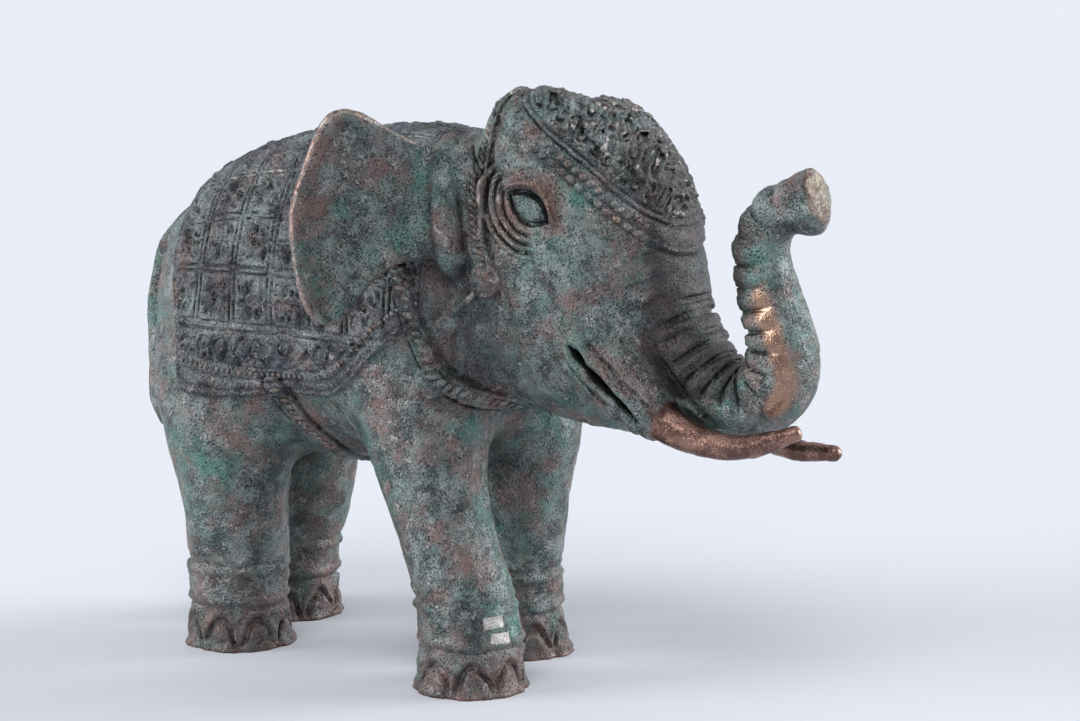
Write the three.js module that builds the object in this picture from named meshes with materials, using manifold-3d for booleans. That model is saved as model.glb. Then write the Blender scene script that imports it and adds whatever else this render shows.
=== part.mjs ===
// A cast bronze elephant in a decorated cloth, standing on its own four feet.
// Frame: +Z up, the head looks along -Y, its left side is +X, origin on the floor under the middle.
// The whole casting is one closed body, so the model is one field of signed distances whose
// zero surface is the metal. The surface is contoured, thinned to few faces, and cut flat below.
import * as THREE from "three";
import Module from "manifold-3d";

// Driving dimensions, in millimetres.
const HEIGHT = 150; // floor to the top of the head
const EAR_THICKNESS = 3.0;
const EAR_RIM = 2.1; // radius of the rolled edge of an ear
const CLOTH_RELIEF = 1.1; // how far the back cloth stands proud of the hide
const CLOTH_SQUARE = 13.4; // pitch of the squares chased on the cloth
const CLOTH_LINE = 2.2; // width of the lines between the squares
const CLOTH_LINE_DEPTH = 0.7;
const HEM_WIDTH = 11; // plain width of the hem below the squares
const CAP_RELIEF = 0.9; // how far the cap stands proud of the forehead
const CAP_BORDER = 2; // half the height of the band along the cap's edge
const CAP_LINE = 1.8;
const STRAP_WIDTH = 4.6; // of the braided strap down the head, and of the one round the breast
const STRAP_RELIEF = 1.1;
const GIRTH_WIDTH = 5; // of the strap under the belly
const MEDALLION_RADIUS = 4.6;
const BELL_RADIUS = 2.9; // of the knot on the breast
const ANKLET_LOW = 12.2; // height of an anklet's lower edge above the floor
const ANKLET_HIGH = 21.8;
const ANKLET_RELIEF = 1.1;
const NAIL_HEIGHT = 9.6;
const NAIL_WIDTH = 7.2;
const NAIL_RELIEF = 0.9;
const TUSK_RADIUS = 4.6; // at the lip
const TUSK_TIP_RADIUS = 1.9;
const RING_PITCH = 5.2; // pitch of the rings along the trunk
const RING_DEPTH = 0.9;
const TAIL_RADIUS = 1.7;
const TAIL_TUFT_RADIUS = 3.0;

// How finely the surface is contoured, and how many triangles are left of it.
const CELL = 1.0;
const BLOCK_CELLS = 8;
const TRIANGLES = 9600;
const FILLED_DEPTH = 1e-4;
const SLIVER = 0.12; // least doubled area of a triangle, as a share of its longest side squared

// The pose, the proportions and the carving are shares of the height: every place below is given
// for a casting POSE_HEIGHT high, and one unit of the pose is worth UNIT millimetres.
const POSE_HEIGHT = 148.2;
const UNIT = HEIGHT / POSE_HEIGHT;
const POSE_LOW = [-64, -138, -7];
const POSE_HIGH = [64, 78, 154];
const CLEAR_OF_FILLETS = 15;

// The driving sizes in units of the pose.
const posed = {
  earThickness: EAR_THICKNESS / UNIT,
  earRim: EAR_RIM / UNIT,
  clothRelief: CLOTH_RELIEF / UNIT,
  clothSquare: CLOTH_SQUARE / UNIT,
  clothLineDepth: CLOTH_LINE_DEPTH / UNIT,
  clothLine: CLOTH_LINE / UNIT,
  hemWidth: HEM_WIDTH / UNIT,
  capRelief: CAP_RELIEF / UNIT,
  capBorder: CAP_BORDER / UNIT,
  capLine: CAP_LINE / UNIT,
  strapWidth: STRAP_WIDTH / UNIT,
  strapRelief: STRAP_RELIEF / UNIT,
  girthWidth: GIRTH_WIDTH / UNIT,
  medallionRadius: MEDALLION_RADIUS / UNIT,
  bellRadius: BELL_RADIUS / UNIT,
  ankletLow: ANKLET_LOW / UNIT,
  ankletHigh: ANKLET_HIGH / UNIT,
  ankletRelief: ANKLET_RELIEF / UNIT,
  nailHeight: NAIL_HEIGHT / UNIT,
  nailWidth: NAIL_WIDTH / UNIT,
  nailRelief: NAIL_RELIEF / UNIT,
  tuskRadius: TUSK_RADIUS / UNIT,
  tuskTipRadius: TUSK_TIP_RADIUS / UNIT,
  ringPitch: RING_PITCH / UNIT,
  ringDepth: RING_DEPTH / UNIT,
  tailRadius: TAIL_RADIUS / UNIT,
  tailTuftRadius: TAIL_TUFT_RADIUS / UNIT,
};

// Fields. A field takes a place (x, y, z) in the pose and gives about its distance to a surface,
// negative inside.

// The nearer of two fields, with a fillet of about the given size where they meet.
function blend(a, b, fillet) {
  const h = Math.max(fillet - Math.abs(a - b), 0) / fillet;
  return Math.min(a, b) - (h * h * fillet) / 4;
}

// What two fields share, with the edge between them rounded.
function overlap(a, b, round) {
  return -blend(-a, -b, round);
}

// The first field with the second taken out of it.
function carve(a, b, round) {
  return overlap(a, -b, round);
}

function smoothstep(low, high, value) {
  const t = Math.min(Math.max((value - low) / (high - low), 0), 1);
  return t * t * (3 - 2 * t);
}

// One at the middle of a line and nothing past its edges, for carving along the line.
function stroke(distance, width) {
  return 1 - smoothstep(0, width / 2, Math.abs(distance));
}

// A field that is worked out only near its box; farther off, the distance to the box serves.
function within([lx, ly, lz], [hx, hy, hz], field) {
  return (x, y, z) => {
    const away = Math.max(lx - x, x - hx, ly - y, y - hy, lz - z, z - hz);
    return away > CLEAR_OF_FILLETS ? away : field(x, y, z);
  };
}

// An ellipsoid at a centre, turned about X by a tilt in radians.
function ellipsoid([cx, cy, cz], [rx, ry, rz], tilt = 0) {
  const c = Math.cos(tilt);
  const s = Math.sin(tilt);
  return (x, y, z) => {
    const dx = x - cx;
    const ey = y - cy;
    const ez = z - cz;
    const px = dx / rx;
    const py = (c * ey + s * ez) / ry;
    const pz = (c * ez - s * ey) / rz;
    const near = Math.sqrt(px * px + py * py + pz * pz);
    const qx = px / rx;
    const qy = py / ry;
    const qz = pz / rz;
    const slope = Math.sqrt(qx * qx + qy * qy + qz * qz);
    return slope < 1e-9 ? -Math.min(rx, ry, rz) : (near * (near - 1)) / slope;
  };
}

// Rows of numbers, sampled evenly along a smooth curve through them.
function smoothRows(rows, steps) {
  const last = rows.length - 1;
  const row = (i) => rows[Math.min(Math.max(i, 0), last)];
  return Array.from({ length: steps + 1 }, (_, k) => {
    const at = (k / steps) * last;
    const i = Math.min(Math.floor(at), last - 1);
    const t = at - i;
    return row(i).map((_, j) => {
      const [a, b, c, d] = [row(i - 1)[j], row(i)[j], row(i + 1)[j], row(i + 2)[j]];
      return 0.5 * (2 * b + (c - a) * t + (2 * a - 5 * b + 4 * c - d) * t * t
        + (3 * b - a - 3 * c + d) * t * t * t);
    });
  });
}

// A round rod through rows of [x, y, z, radius].
function rod(rows, steps = 12) {
  const samples = smoothRows(rows, steps);
  const low = [0, 1, 2].map((n) => Math.min(...samples.map((s) => s[n] - s[3])));
  const high = [0, 1, 2].map((n) => Math.max(...samples.map((s) => s[n] + s[3])));
  return within(low, high, (x, y, z) => {
    let best = 1e9;
    for (let i = 0; i < samples.length - 1; i++) {
      const a = samples[i];
      const b = samples[i + 1];
      const bx = b[0] - a[0];
      const by = b[1] - a[1];
      const bz = b[2] - a[2];
      const ax = x - a[0];
      const ay = y - a[1];
      const az = z - a[2];
      const along = (ax * bx + ay * by + az * bz) / (bx * bx + by * by + bz * bz);
      const t = Math.min(Math.max(along, 0), 1);
      const d = Math.hypot(ax - t * bx, ay - t * by, az - t * bz) - (a[3] + t * (b[3] - a[3]));
      if (d < best) best = d;
    }
    return best;
  });
}

// An upright limb through rows of [z, x, y, half width, half length], with an oval section.
function limb(rows) {
  const samples = smoothRows(rows, 60);
  const foot = rows[0][0];
  const top = rows[rows.length - 1][0];
  const low = [Math.min(...rows.map((r) => r[1] - r[3])), Math.min(...rows.map((r) => r[2] - r[4])), foot];
  const high = [Math.max(...rows.map((r) => r[1] + r[3])), Math.max(...rows.map((r) => r[2] + r[4])), top];
  return within(low, high, (x, y, z) => {
    const level = Math.min(Math.max(z, foot), top);
    let i = 0;
    while (i < samples.length - 2 && samples[i + 1][0] < level) i++;
    const [a, b] = [samples[i], samples[i + 1]];
    const t = Math.min(Math.max((level - a[0]) / (b[0] - a[0]), 0), 1);
    const halfWidth = a[3] + t * (b[3] - a[3]);
    const halfLength = a[4] + t * (b[4] - a[4]);
    const px = (x - a[1] - t * (b[1] - a[1])) / halfWidth;
    const py = (y - a[2] - t * (b[2] - a[2])) / halfLength;
    const side = (Math.sqrt(px * px + py * py) - 1) * Math.min(halfWidth, halfLength);
    return overlap(side, Math.max(foot - z, z - top), 4);
  });
}

// A bar that bends in the upright plane through the middle, from rows of
// [y, z, half width, half thickness]. It also gives the way along it and its outer side.
const SQUARENESS = 2.4; // two is an oval section, and more is squarer

function bentBar(rows, steps) {
  const samples = smoothRows(rows, steps);
  const reach = [0];
  for (let i = 1; i < samples.length; i++) {
    const [a, b] = [samples[i - 1], samples[i]];
    reach.push(reach[i - 1] + Math.hypot(b[0] - a[0], b[1] - a[1]));
  }
  return (x, y, z) => {
    let best = 1e9;
    let nearest = null;
    for (let i = 0; i < samples.length - 1; i++) {
      const a = samples[i];
      const b = samples[i + 1];
      const by = b[0] - a[0];
      const bz = b[1] - a[1];
      const ay = y - a[0];
      const az = z - a[1];
      const t = Math.min(Math.max((ay * by + az * bz) / (by * by + bz * bz), 0), 1);
      const half = a[3] + t * (b[3] - a[3]);
      const off = Math.hypot(ay - t * by, az - t * bz);
      if (off - half >= best) continue;
      best = off - half;
      nearest = { i, t, off, half, turn: by * az - bz * ay };
    }
    const { i, t, off, half, turn } = nearest;
    const [a, b] = [samples[i], samples[i + 1]];
    const halfWidth = a[2] + t * (b[2] - a[2]);
    const across = (Math.abs(x) / halfWidth) ** SQUARENESS;
    const through = (off / half) ** SQUARENESS;
    const distance = ((across + through) ** (1 / SQUARENESS) - 1) * Math.min(halfWidth, half);
    const length = Math.hypot(b[0] - a[0], b[1] - a[1]);
    return { distance, along: reach[i] + t * length, outside: turn / (length * half) };
  };
}

// The body: a barrel, the rump and the shoulders.
const BARREL = ellipsoid([0, 4, 93], [29.5, 52, 42.5]);
const RUMP = ellipsoid([0, 33.5, 88], [24, 34.6, 35]);
const SHOULDERS = ellipsoid([0, -24, 97], [26, 29, 38]);

// The legs, from the sole up: rows of [z, x, y, half width, half length], then the way that the
// middle nail points, in degrees from +X.
const LEGS = [
  { shape: limb([
    [-3, -18.9, -41.3, 13.8, 13.8], [7, -18.9, -41.2, 12.8, 12.9], [16, -18.9, -41, 12.4, 12.6],
    [26, -19, -38.6, 12.2, 12.6], [36, -18.8, -34.8, 12, 12.2], [48, -18.2, -30.3, 12.8, 13.6],
    [62, -17, -26.5, 14, 17], [82, -15.5, -23, 15, 22], [104, -13, -20, 13, 24]]),
  foot: [-18.9, -41.2], nailsFace: 262 },
  { shape: limb([
    [-3, 17.3, -32, 13.6, 13.6], [7, 17.3, -31.4, 12.3, 12.5], [16, 17.4, -30.5, 11.7, 12],
    [26, 17.6, -30.8, 11.8, 12.2], [36, 17.6, -32, 12, 12.4], [48, 17.4, -33.2, 12.8, 13.4],
    [62, 17, -33, 14, 16], [82, 15.5, -28, 15, 20], [104, 13, -22, 13, 24]]),
  foot: [17.3, -31.6], nailsFace: 278 },
  { shape: limb([
    [-3, -16, 35, 13.5, 13.7], [7, -16, 35, 12.6, 12.9], [18, -16, 35, 12.5, 12.8],
    [28, -16.2, 35, 13, 13.6], [40, -16.6, 35.4, 13.6, 14.6], [54, -16.6, 37, 14.6, 18],
    [70, -16, 38, 15, 21], [90, -13, 34, 13, 22], [106, -8, 28, 10, 20]]),
  foot: [-16, 35], nailsFace: 241 },
  { shape: limb([
    [-3, 16.4, 43.2, 13.4, 13.4], [7, 16.4, 43, 12.4, 12.6], [18, 16.6, 42.4, 12, 12.4],
    [28, 17, 40.4, 12.8, 13.4], [40, 17, 38.6, 13.6, 14.6], [54, 17, 38, 14.6, 18],
    [70, 16, 38, 15, 21], [90, 13, 34, 13, 22], [106, 8, 28, 10, 20]]),
  foot: [16.4, 43], nailsFace: 299 },
];
const NAIL_TURNS = [-82, -41, 0, 41, 82];
const FOOT_RADIUS = 13.6;

// A leg with its anklet and its nails.
function leg({ shape, foot, nailsFace }, x, y, z) {
  const plain = shape(x, y, z);
  if (plain > 4 || z > posed.ankletHigh + 4) return plain;
  const middle = (posed.ankletLow + posed.ankletHigh) / 2;
  const half = (posed.ankletHigh - posed.ankletLow) / 2;
  const band = 1 - smoothstep(half - 0.8, half + 0.8, Math.abs(z - middle));
  const dip = 1 - smoothstep(half - 3.2, half - 1.6, Math.abs(z - middle));
  const turn = (Math.atan2(y - foot[1], x - foot[0]) * 180) / Math.PI;
  let nail = 0;
  for (const way of NAIL_TURNS) {
    const off = ((((turn - nailsFace - way) % 360) + 540) % 360) - 180;
    const across = (Math.abs(off) * Math.PI * FOOT_RADIUS) / 180;
    const room = Math.sqrt(Math.max(1 - Math.max(z, 0) / posed.nailHeight, 0)) * (posed.nailWidth / 2);
    nail = Math.max(nail, smoothstep(-0.4, 0.9, room - across));
  }
  return plain - (band - 0.55 * dip) * posed.ankletRelief - nail * posed.nailRelief;
}

// The cloth over the back. Its squares run down from the spine and back from the neck.
const CLOTH_AXIS = [0, 94]; // where the cloth's turn about the barrel is measured from, (x, z)
const CLOTH_SPAN = [30, 43];
const CLOTH_TURN_RADIUS = 37.5;
const CLOTH_DROP = 81; // from the spine to the lower edge, over the side
const CLOTH_FRONT = -35;
const CLOTH_BACK = 50;
const CLOTH_LINES_FROM = -34;

function clothPlace(x, y, z) {
  const across = Math.abs(x - CLOTH_AXIS[0]) / CLOTH_SPAN[0];
  const down = CLOTH_TURN_RADIUS * Math.atan2(across, (z - CLOTH_AXIS[1]) / CLOTH_SPAN[1]);
  const hem = CLOTH_DROP - 19 * smoothstep(2, -36, y);
  const back = CLOTH_BACK - 8 * smoothstep(46, CLOTH_DROP, down);
  return { down, inside: Math.min(hem - down, back - y, y - CLOTH_FRONT), toHem: hem - down };
}

function clothRelief(x, y, z) {
  const { down, inside, toHem } = clothPlace(x, y, z);
  if (inside < -1) return 0;
  const cloth = smoothstep(-0.7, 0.7, inside) * posed.clothRelief;
  const squares = smoothstep(posed.hemWidth - 0.6, posed.hemWidth + 0.6, Math.min(toHem, inside + posed.hemWidth - 3));
  const offDown = down - posed.clothSquare * Math.round(down / posed.clothSquare);
  const offBack = y - CLOTH_LINES_FROM - posed.clothSquare * Math.round((y - CLOTH_LINES_FROM) / posed.clothSquare);
  const line = Math.max(stroke(offDown, posed.clothLine), stroke(offBack, posed.clothLine));
  const hemLine = stroke(toHem - posed.hemWidth, posed.clothLine);
  return cloth - Math.max(line * squares, hemLine * smoothstep(0, 2, inside)) * posed.clothLineDepth;
}

// The head: skull, two domes, the cheeks, the jaw and the neck behind them.
const SKULL = ellipsoid([0, -62, 115], [25, 28, 28]);
const RIGHT_DOME = ellipsoid([-12, -58, 131.6], [13, 15, 15.5]);
const LEFT_DOME = ellipsoid([11, -62, 128.7], [12.3, 14.6, 14.8]);
const CHEEKS = ellipsoid([0, -62, 96], [24, 26, 27], 0.35);
const NECK = ellipsoid([0, -42, 106], [23, 22, 30]);
const JAW = rod([[0, -54, 86, 15], [0, -70, 76, 10.5], [0, -84, 68, 4]], 10);
const TUSK_SHEATH = rod([[13, -72, 90, 10.4], [13.6, -80.5, 80.4, 9], [14, -89, 73.6, 6.9]], 8);
const MOUTH = rod([
  [25.5, -71, 91, 0.7], [24.2, -75, 86, 2], [22.6, -79.5, 79.5, 2.5], [20, -84.5, 73.2, 2.3],
  [15.5, -90, 67.6, 1.8]], 12);

// The cap lies above a plane that slopes from the crown down to the brow, with a border below it.
const CAP_TIP = [-90.8, 113.6];
const CAP_SLOPE = 0.72;
const CAP_BACK = -49;

function capHeight(y, z) {
  return (z - CAP_TIP[1]) * Math.cos(CAP_SLOPE) - (y - CAP_TIP[0]) * Math.sin(CAP_SLOPE);
}

function capRelief(y, z) {
  const height = capHeight(y, z);
  const wing = 2.6 * smoothstep(-70, -60, y);
  const edge = Math.min(height + posed.capBorder + wing, CAP_BACK - y);
  const on = smoothstep(-0.5, 0.5, edge);
  return posed.capRelief * (on - 0.9 * stroke(height - posed.capBorder, posed.capLine) * on);
}

// The eyes: an almond between two lids, under a thick brow, with folds behind and below.
const EYE = [-62.4, 120.3];
const EYE_SLANT = 0.5;
const EYE_HALF = [5.6, 2.7];
const EYE_OUT = 17; // no eye nearer than this to the middle of the head

function eyeRelief(side, y, z) {
  if (side < EYE_OUT) return 0;
  const along = -(y - EYE[0]) * Math.cos(EYE_SLANT) - (z - EYE[1]) * Math.sin(EYE_SLANT);
  const up = (z - EYE[1]) * Math.cos(EYE_SLANT) - (y - EYE[0]) * Math.sin(EYE_SLANT);
  const bow = EYE_HALF[1] * (1 - (along / EYE_HALF[0]) ** 2);
  const out = Math.abs(up) - bow;
  const near = 1 - smoothstep(EYE_HALF[0] + 1, EYE_HALF[0] + 4.5, Math.abs(along));
  const ball = 0.5 * smoothstep(0.2, -2, out) * near;
  const rim = stroke(out - 0.7, 1.9) * near;
  const brow = up > 0 ? stroke(out - 2.9, 4.2) * near : 0;
  const behind = smoothstep(3, -2, along) * smoothstep(1, -1, up) * near;
  const folds = (stroke(out - 2.6, 2) + stroke(out - 5, 2)) * behind;
  return ball - 0.95 * rim + 1.5 * brow + 0.55 * folds;
}

// The trunk, from the face down and up to its tip: rows of [y, z, half width, half thickness].
const TRUNK = bentBar([
  [-66, 112, 17, 18], [-75.5, 100, 14.5, 15.5], [-83.5, 90, 12.4, 13], [-91.6, 82, 10.8, 11],
  [-100, 76.5, 9.6, 9.6], [-108.6, 74.8, 9, 8.6], [-115.4, 78.8, 8.6, 8.8], [-117.4, 87, 7.9, 8.3],
  [-115.4, 95.5, 7.2, 7.5], [-112.6, 104, 6.6, 6.9], [-111.6, 112, 6, 6.4], [-114, 118.2, 5.8, 6.2],
  [-119.4, 121.8, 5.8, 6.2], [-128, 125, 6, 6.4]], 72);
const TRUNK_RINGS_FROM = 22;
const TRUNK_RINGS_TO = 112;
const TRUNK_TIP = [-126.2, 124.4];
const TRUNK_TIP_LEAN = 0.35;

function trunk(x, y, z) {
  const { distance, along, outside } = TRUNK(x, y, z);
  if (distance > 20) return distance;
  const off = along - posed.ringPitch * Math.round(along / posed.ringPitch);
  const inner = smoothstep(0.5, -0.25, outside);
  const here = smoothstep(TRUNK_RINGS_FROM - 8, TRUNK_RINGS_FROM + 4, along)
    * smoothstep(TRUNK_RINGS_TO + 4, TRUNK_RINGS_TO - 2, along);
  const rings = (stroke(off, 2) - 0.3) * posed.ringDepth * inner * here;
  const end = (TRUNK_TIP[0] - y) * Math.cos(TRUNK_TIP_LEAN) + (z - TRUNK_TIP[1]) * Math.sin(TRUNK_TIP_LEAN);
  return overlap(distance + rings, end, 1.5);
}

const RIGHT_TUSK = rod([
  [-13.4, -84, 77.5, posed.tuskRadius], [-14.2, -94, 70.6, posed.tuskRadius * 0.96],
  [-14.6, -104, 67, posed.tuskRadius * 0.8], [-14.4, -115, 66.6, posed.tuskRadius * 0.62],
  [-12.6, -127, 70.6, posed.tuskTipRadius]], 24);
const LEFT_TUSK = rod([
  [13.4, -84, 77.5, posed.tuskRadius], [14.4, -94, 70, posed.tuskRadius * 0.96],
  [15, -103, 65, posed.tuskRadius * 0.8], [15.2, -113, 61.4, posed.tuskRadius * 0.62],
  [14, -124, 61.8, posed.tuskTipRadius]], 24);

// An ear: a dished plate that stands away from the head, swept back from across the body, with a
// rolled fold where it leaves the head.
const EAR_ROOT = [25, -40, 118];
const EAR_SWEEP = Math.PI / 4;
const EAR_DISH = 5;
const EAR_OUTLINE = smoothRows([
  [-4, 16], [5, 15.4], [12, 18], [19, 22], [25.4, 24.4], [30.4, 21.6], [34.4, 12], [37.6, 3],
  [38, -6], [36.8, -15], [34.6, -22], [30.4, -25], [25, -22.4], [20, -16.4], [13, -11.6],
  [5, -9.4], [-4, -10]], 48);
const EAR_FOLD = rod([
  [24.6, -40, 135, 2.2], [27.6, -40.4, 127, 3], [29, -41.4, 118, 3.4], [28.8, -42.4, 109, 3.4],
  [27.6, -42.6, 105.6, 2.8]], 12);

function outlineDistance(outline, u, w) {
  let nearest = 1e9;
  let inside = false;
  for (let i = 0; i < outline.length; i++) {
    const a = outline[i];
    const b = outline[(i + 1) % outline.length];
    const bu = b[0] - a[0];
    const bw = b[1] - a[1];
    const au = u - a[0];
    const aw = w - a[1];
    const t = Math.min(Math.max((au * bu + aw * bw) / (bu * bu + bw * bw), 0), 1);
    nearest = Math.min(nearest, Math.hypot(au - t * bu, aw - t * bw));
    if (a[1] > w !== b[1] > w && u < a[0] + ((w - a[1]) * bu) / bw) inside = !inside;
  }
  return inside ? -nearest : nearest;
}

function ear(side, y, z) {
  const outX = side - EAR_ROOT[0];
  const outY = y - EAR_ROOT[1];
  const u = outX * Math.cos(EAR_SWEEP) + outY * Math.sin(EAR_SWEEP);
  const front = outX * Math.sin(EAR_SWEEP) - outY * Math.cos(EAR_SWEEP);
  const w = z - EAR_ROOT[2];
  const away = Math.max(Math.abs(front) - 12, Math.abs(u - 17) - 25, Math.abs(w) - 30);
  if (away > 6) return away;
  const hollow = EAR_DISH * (((u - 18) / 20) ** 2 + (w / 26) ** 2 - 0.6);
  const edge = outlineDistance(EAR_OUTLINE, u, w);
  const plate = overlap(Math.abs(front - hollow) - posed.earThickness / 2, edge, 2);
  const rim = Math.hypot(front - hollow - 0.4, edge + 1) - posed.earRim;
  return blend(blend(plate, rim, 2.5), EAR_FOLD(side, y, z), 2);
}

// Straps that lie on the casting, each a line through rows of [y, z] as seen from the side: one
// down the head, one round the breast, and the girth.
const HEAD_STRAP = smoothRows([
  [-51, 150], [-49.4, 143], [-49.2, 136], [-47.4, 127], [-47.2, 119], [-49, 110], [-51.4, 105]], 14);
const BREAST_STRAP = smoothRows([[-28, 104], [-32.4, 92], [-38, 79], [-48, 70.6], [-56, 65]], 14);
const GIRTH = smoothRows([[9.5, 72], [7.4, 65], [4, 57.6], [1.4, 52.4], [1, 44]], 14);

function strapRelief(line, width, y, z) {
  let off = 1e9;
  for (let i = 0; i < line.length - 1; i++) {
    const [a, b] = [line[i], line[i + 1]];
    const [by, bz] = [b[0] - a[0], b[1] - a[1]];
    const t = Math.min(Math.max(((y - a[0]) * by + (z - a[1]) * bz) / (by * by + bz * bz), 0), 1);
    off = Math.min(off, Math.hypot(y - a[0] - t * by, z - a[1] - t * bz));
  }
  return posed.strapRelief * (1 - smoothstep(width / 2 - 0.9, width / 2 + 0.3, off));
}

const MEDALLION = ellipsoid([25.2, -51.6, 102.6], [2.1, posed.medallionRadius, posed.medallionRadius]);
const BREAST_BELL = ellipsoid([27.6, -38.4, 77], [posed.bellRadius, posed.bellRadius, posed.bellRadius * 1.3]);

// The tail lies on the rump and ends in a tuft.
const TAIL = rod([
  [-5, 56.5, 113, posed.tailRadius * 1.1], [-7.5, 63.4, 105, posed.tailRadius],
  [-10.5, 66, 95.5, posed.tailRadius], [-13, 65.4, 86.5, posed.tailRadius], [-15, 63.6, 77, posed.tailRadius],
  [-16.5, 61.6, 69.5, posed.tailRadius * 1.3], [-17.5, 58.8, 63.5, posed.tailTuftRadius],
  [-18, 56.6, 58.5, posed.tailTuftRadius * 0.8]], 24);

// The whole casting.
function elephant(x, y, z) {
  const side = Math.abs(x);
  let torso = blend(BARREL(x, y, z), RUMP(x, y, z), 14);
  torso = blend(torso, SHOULDERS(x, y, z), 14);
  for (const each of LEGS) torso = blend(torso, leg(each, x, y, z), 8);
  torso = blend(torso - clothRelief(x, y, z), TAIL(x, y, z), 1.5);
  torso -= strapRelief(GIRTH, posed.girthWidth, y, z) + strapRelief(BREAST_STRAP, posed.strapWidth, y, z);
  torso = blend(torso, BREAST_BELL(side, y, z), 1);
  let head = blend(SKULL(x, y, z), blend(RIGHT_DOME(x, y, z), LEFT_DOME(x, y, z), 4), 6);
  head = blend(head, CHEEKS(x, y, z), 12) - capRelief(y, z) - eyeRelief(side, y, z);
  head = blend(head, JAW(x, y, z), 8);
  head = blend(head, trunk(x, y, z), 8);
  head = blend(head, TUSK_SHEATH(side, y, z), 5);
  head = carve(head, MOUTH(side, y, z), 1);
  head = blend(head, NECK(x, y, z), 10) - strapRelief(HEAD_STRAP, posed.strapWidth, y, z);
  let whole = blend(torso, head, 8);
  whole = blend(whole, RIGHT_TUSK(x, y, z), 1.5);
  whole = blend(whole, LEFT_TUSK(x, y, z), 1.5);
  whole = blend(whole, MEDALLION(side, y, z), 0.8);
  return blend(whole, ear(side, y, z), 4);
}

// Square faces of the grid whose inside corners touch only across a diagonal are filled at one
// corner, so that no two sheets of the surface meet in a single edge.
function joinDiagonals(values, [nx, ny, nz]) {
  const steps = [ny * nz, nz, 1];
  let filled = 1;
  while (filled) {
    filled = 0;
    for (let i = 0; i < nx - 1; i++)
      for (let j = 0; j < ny - 1; j++)
        for (let k = 0; k < nz - 1; k++) {
          const n = (i * ny + j) * nz + k;
          for (let axis = 0; axis < 3; axis++) {
            const one = steps[(axis + 1) % 3];
            const two = steps[(axis + 2) % 3];
            const [a, b, c, d] = [n, n + one, n + one + two, n + two].map((m) => values[m] < 0);
            if (a !== c || b !== d || a === b) continue;
            values[a ? n + one : n] = -FILLED_DEPTH;
            filled++;
          }
        }
  }
}

// The twelve edges of a cell, each between two corners; a corner's bits are its steps along X, Y
// and Z. Two edges are neighbours where they share a face of the cell.
const CELL_CORNERS = [0, 1, 2, 3, 4, 5, 6, 7].map((c) => [c & 1, (c >> 1) & 1, c >> 2]);
const CELL_EDGES = [];
for (let p = 0; p < 8; p++)
  for (let axis = 0; axis < 3; axis++)
    if (!(p & (1 << axis))) CELL_EDGES.push([p, p | (1 << axis), axis]);
const CELL_FACES = [0, 1, 2].flatMap((axis) => [0, 1].map((end) => CELL_EDGES.map((_, e) => e)
  .filter((e) => CELL_EDGES[e].slice(0, 2).every((p) => ((p >> axis) & 1) === end))));
const EDGE_AT = Object.fromEntries(CELL_EDGES.map(([p, , axis], e) => [`${p} ${axis}`, e]));

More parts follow.
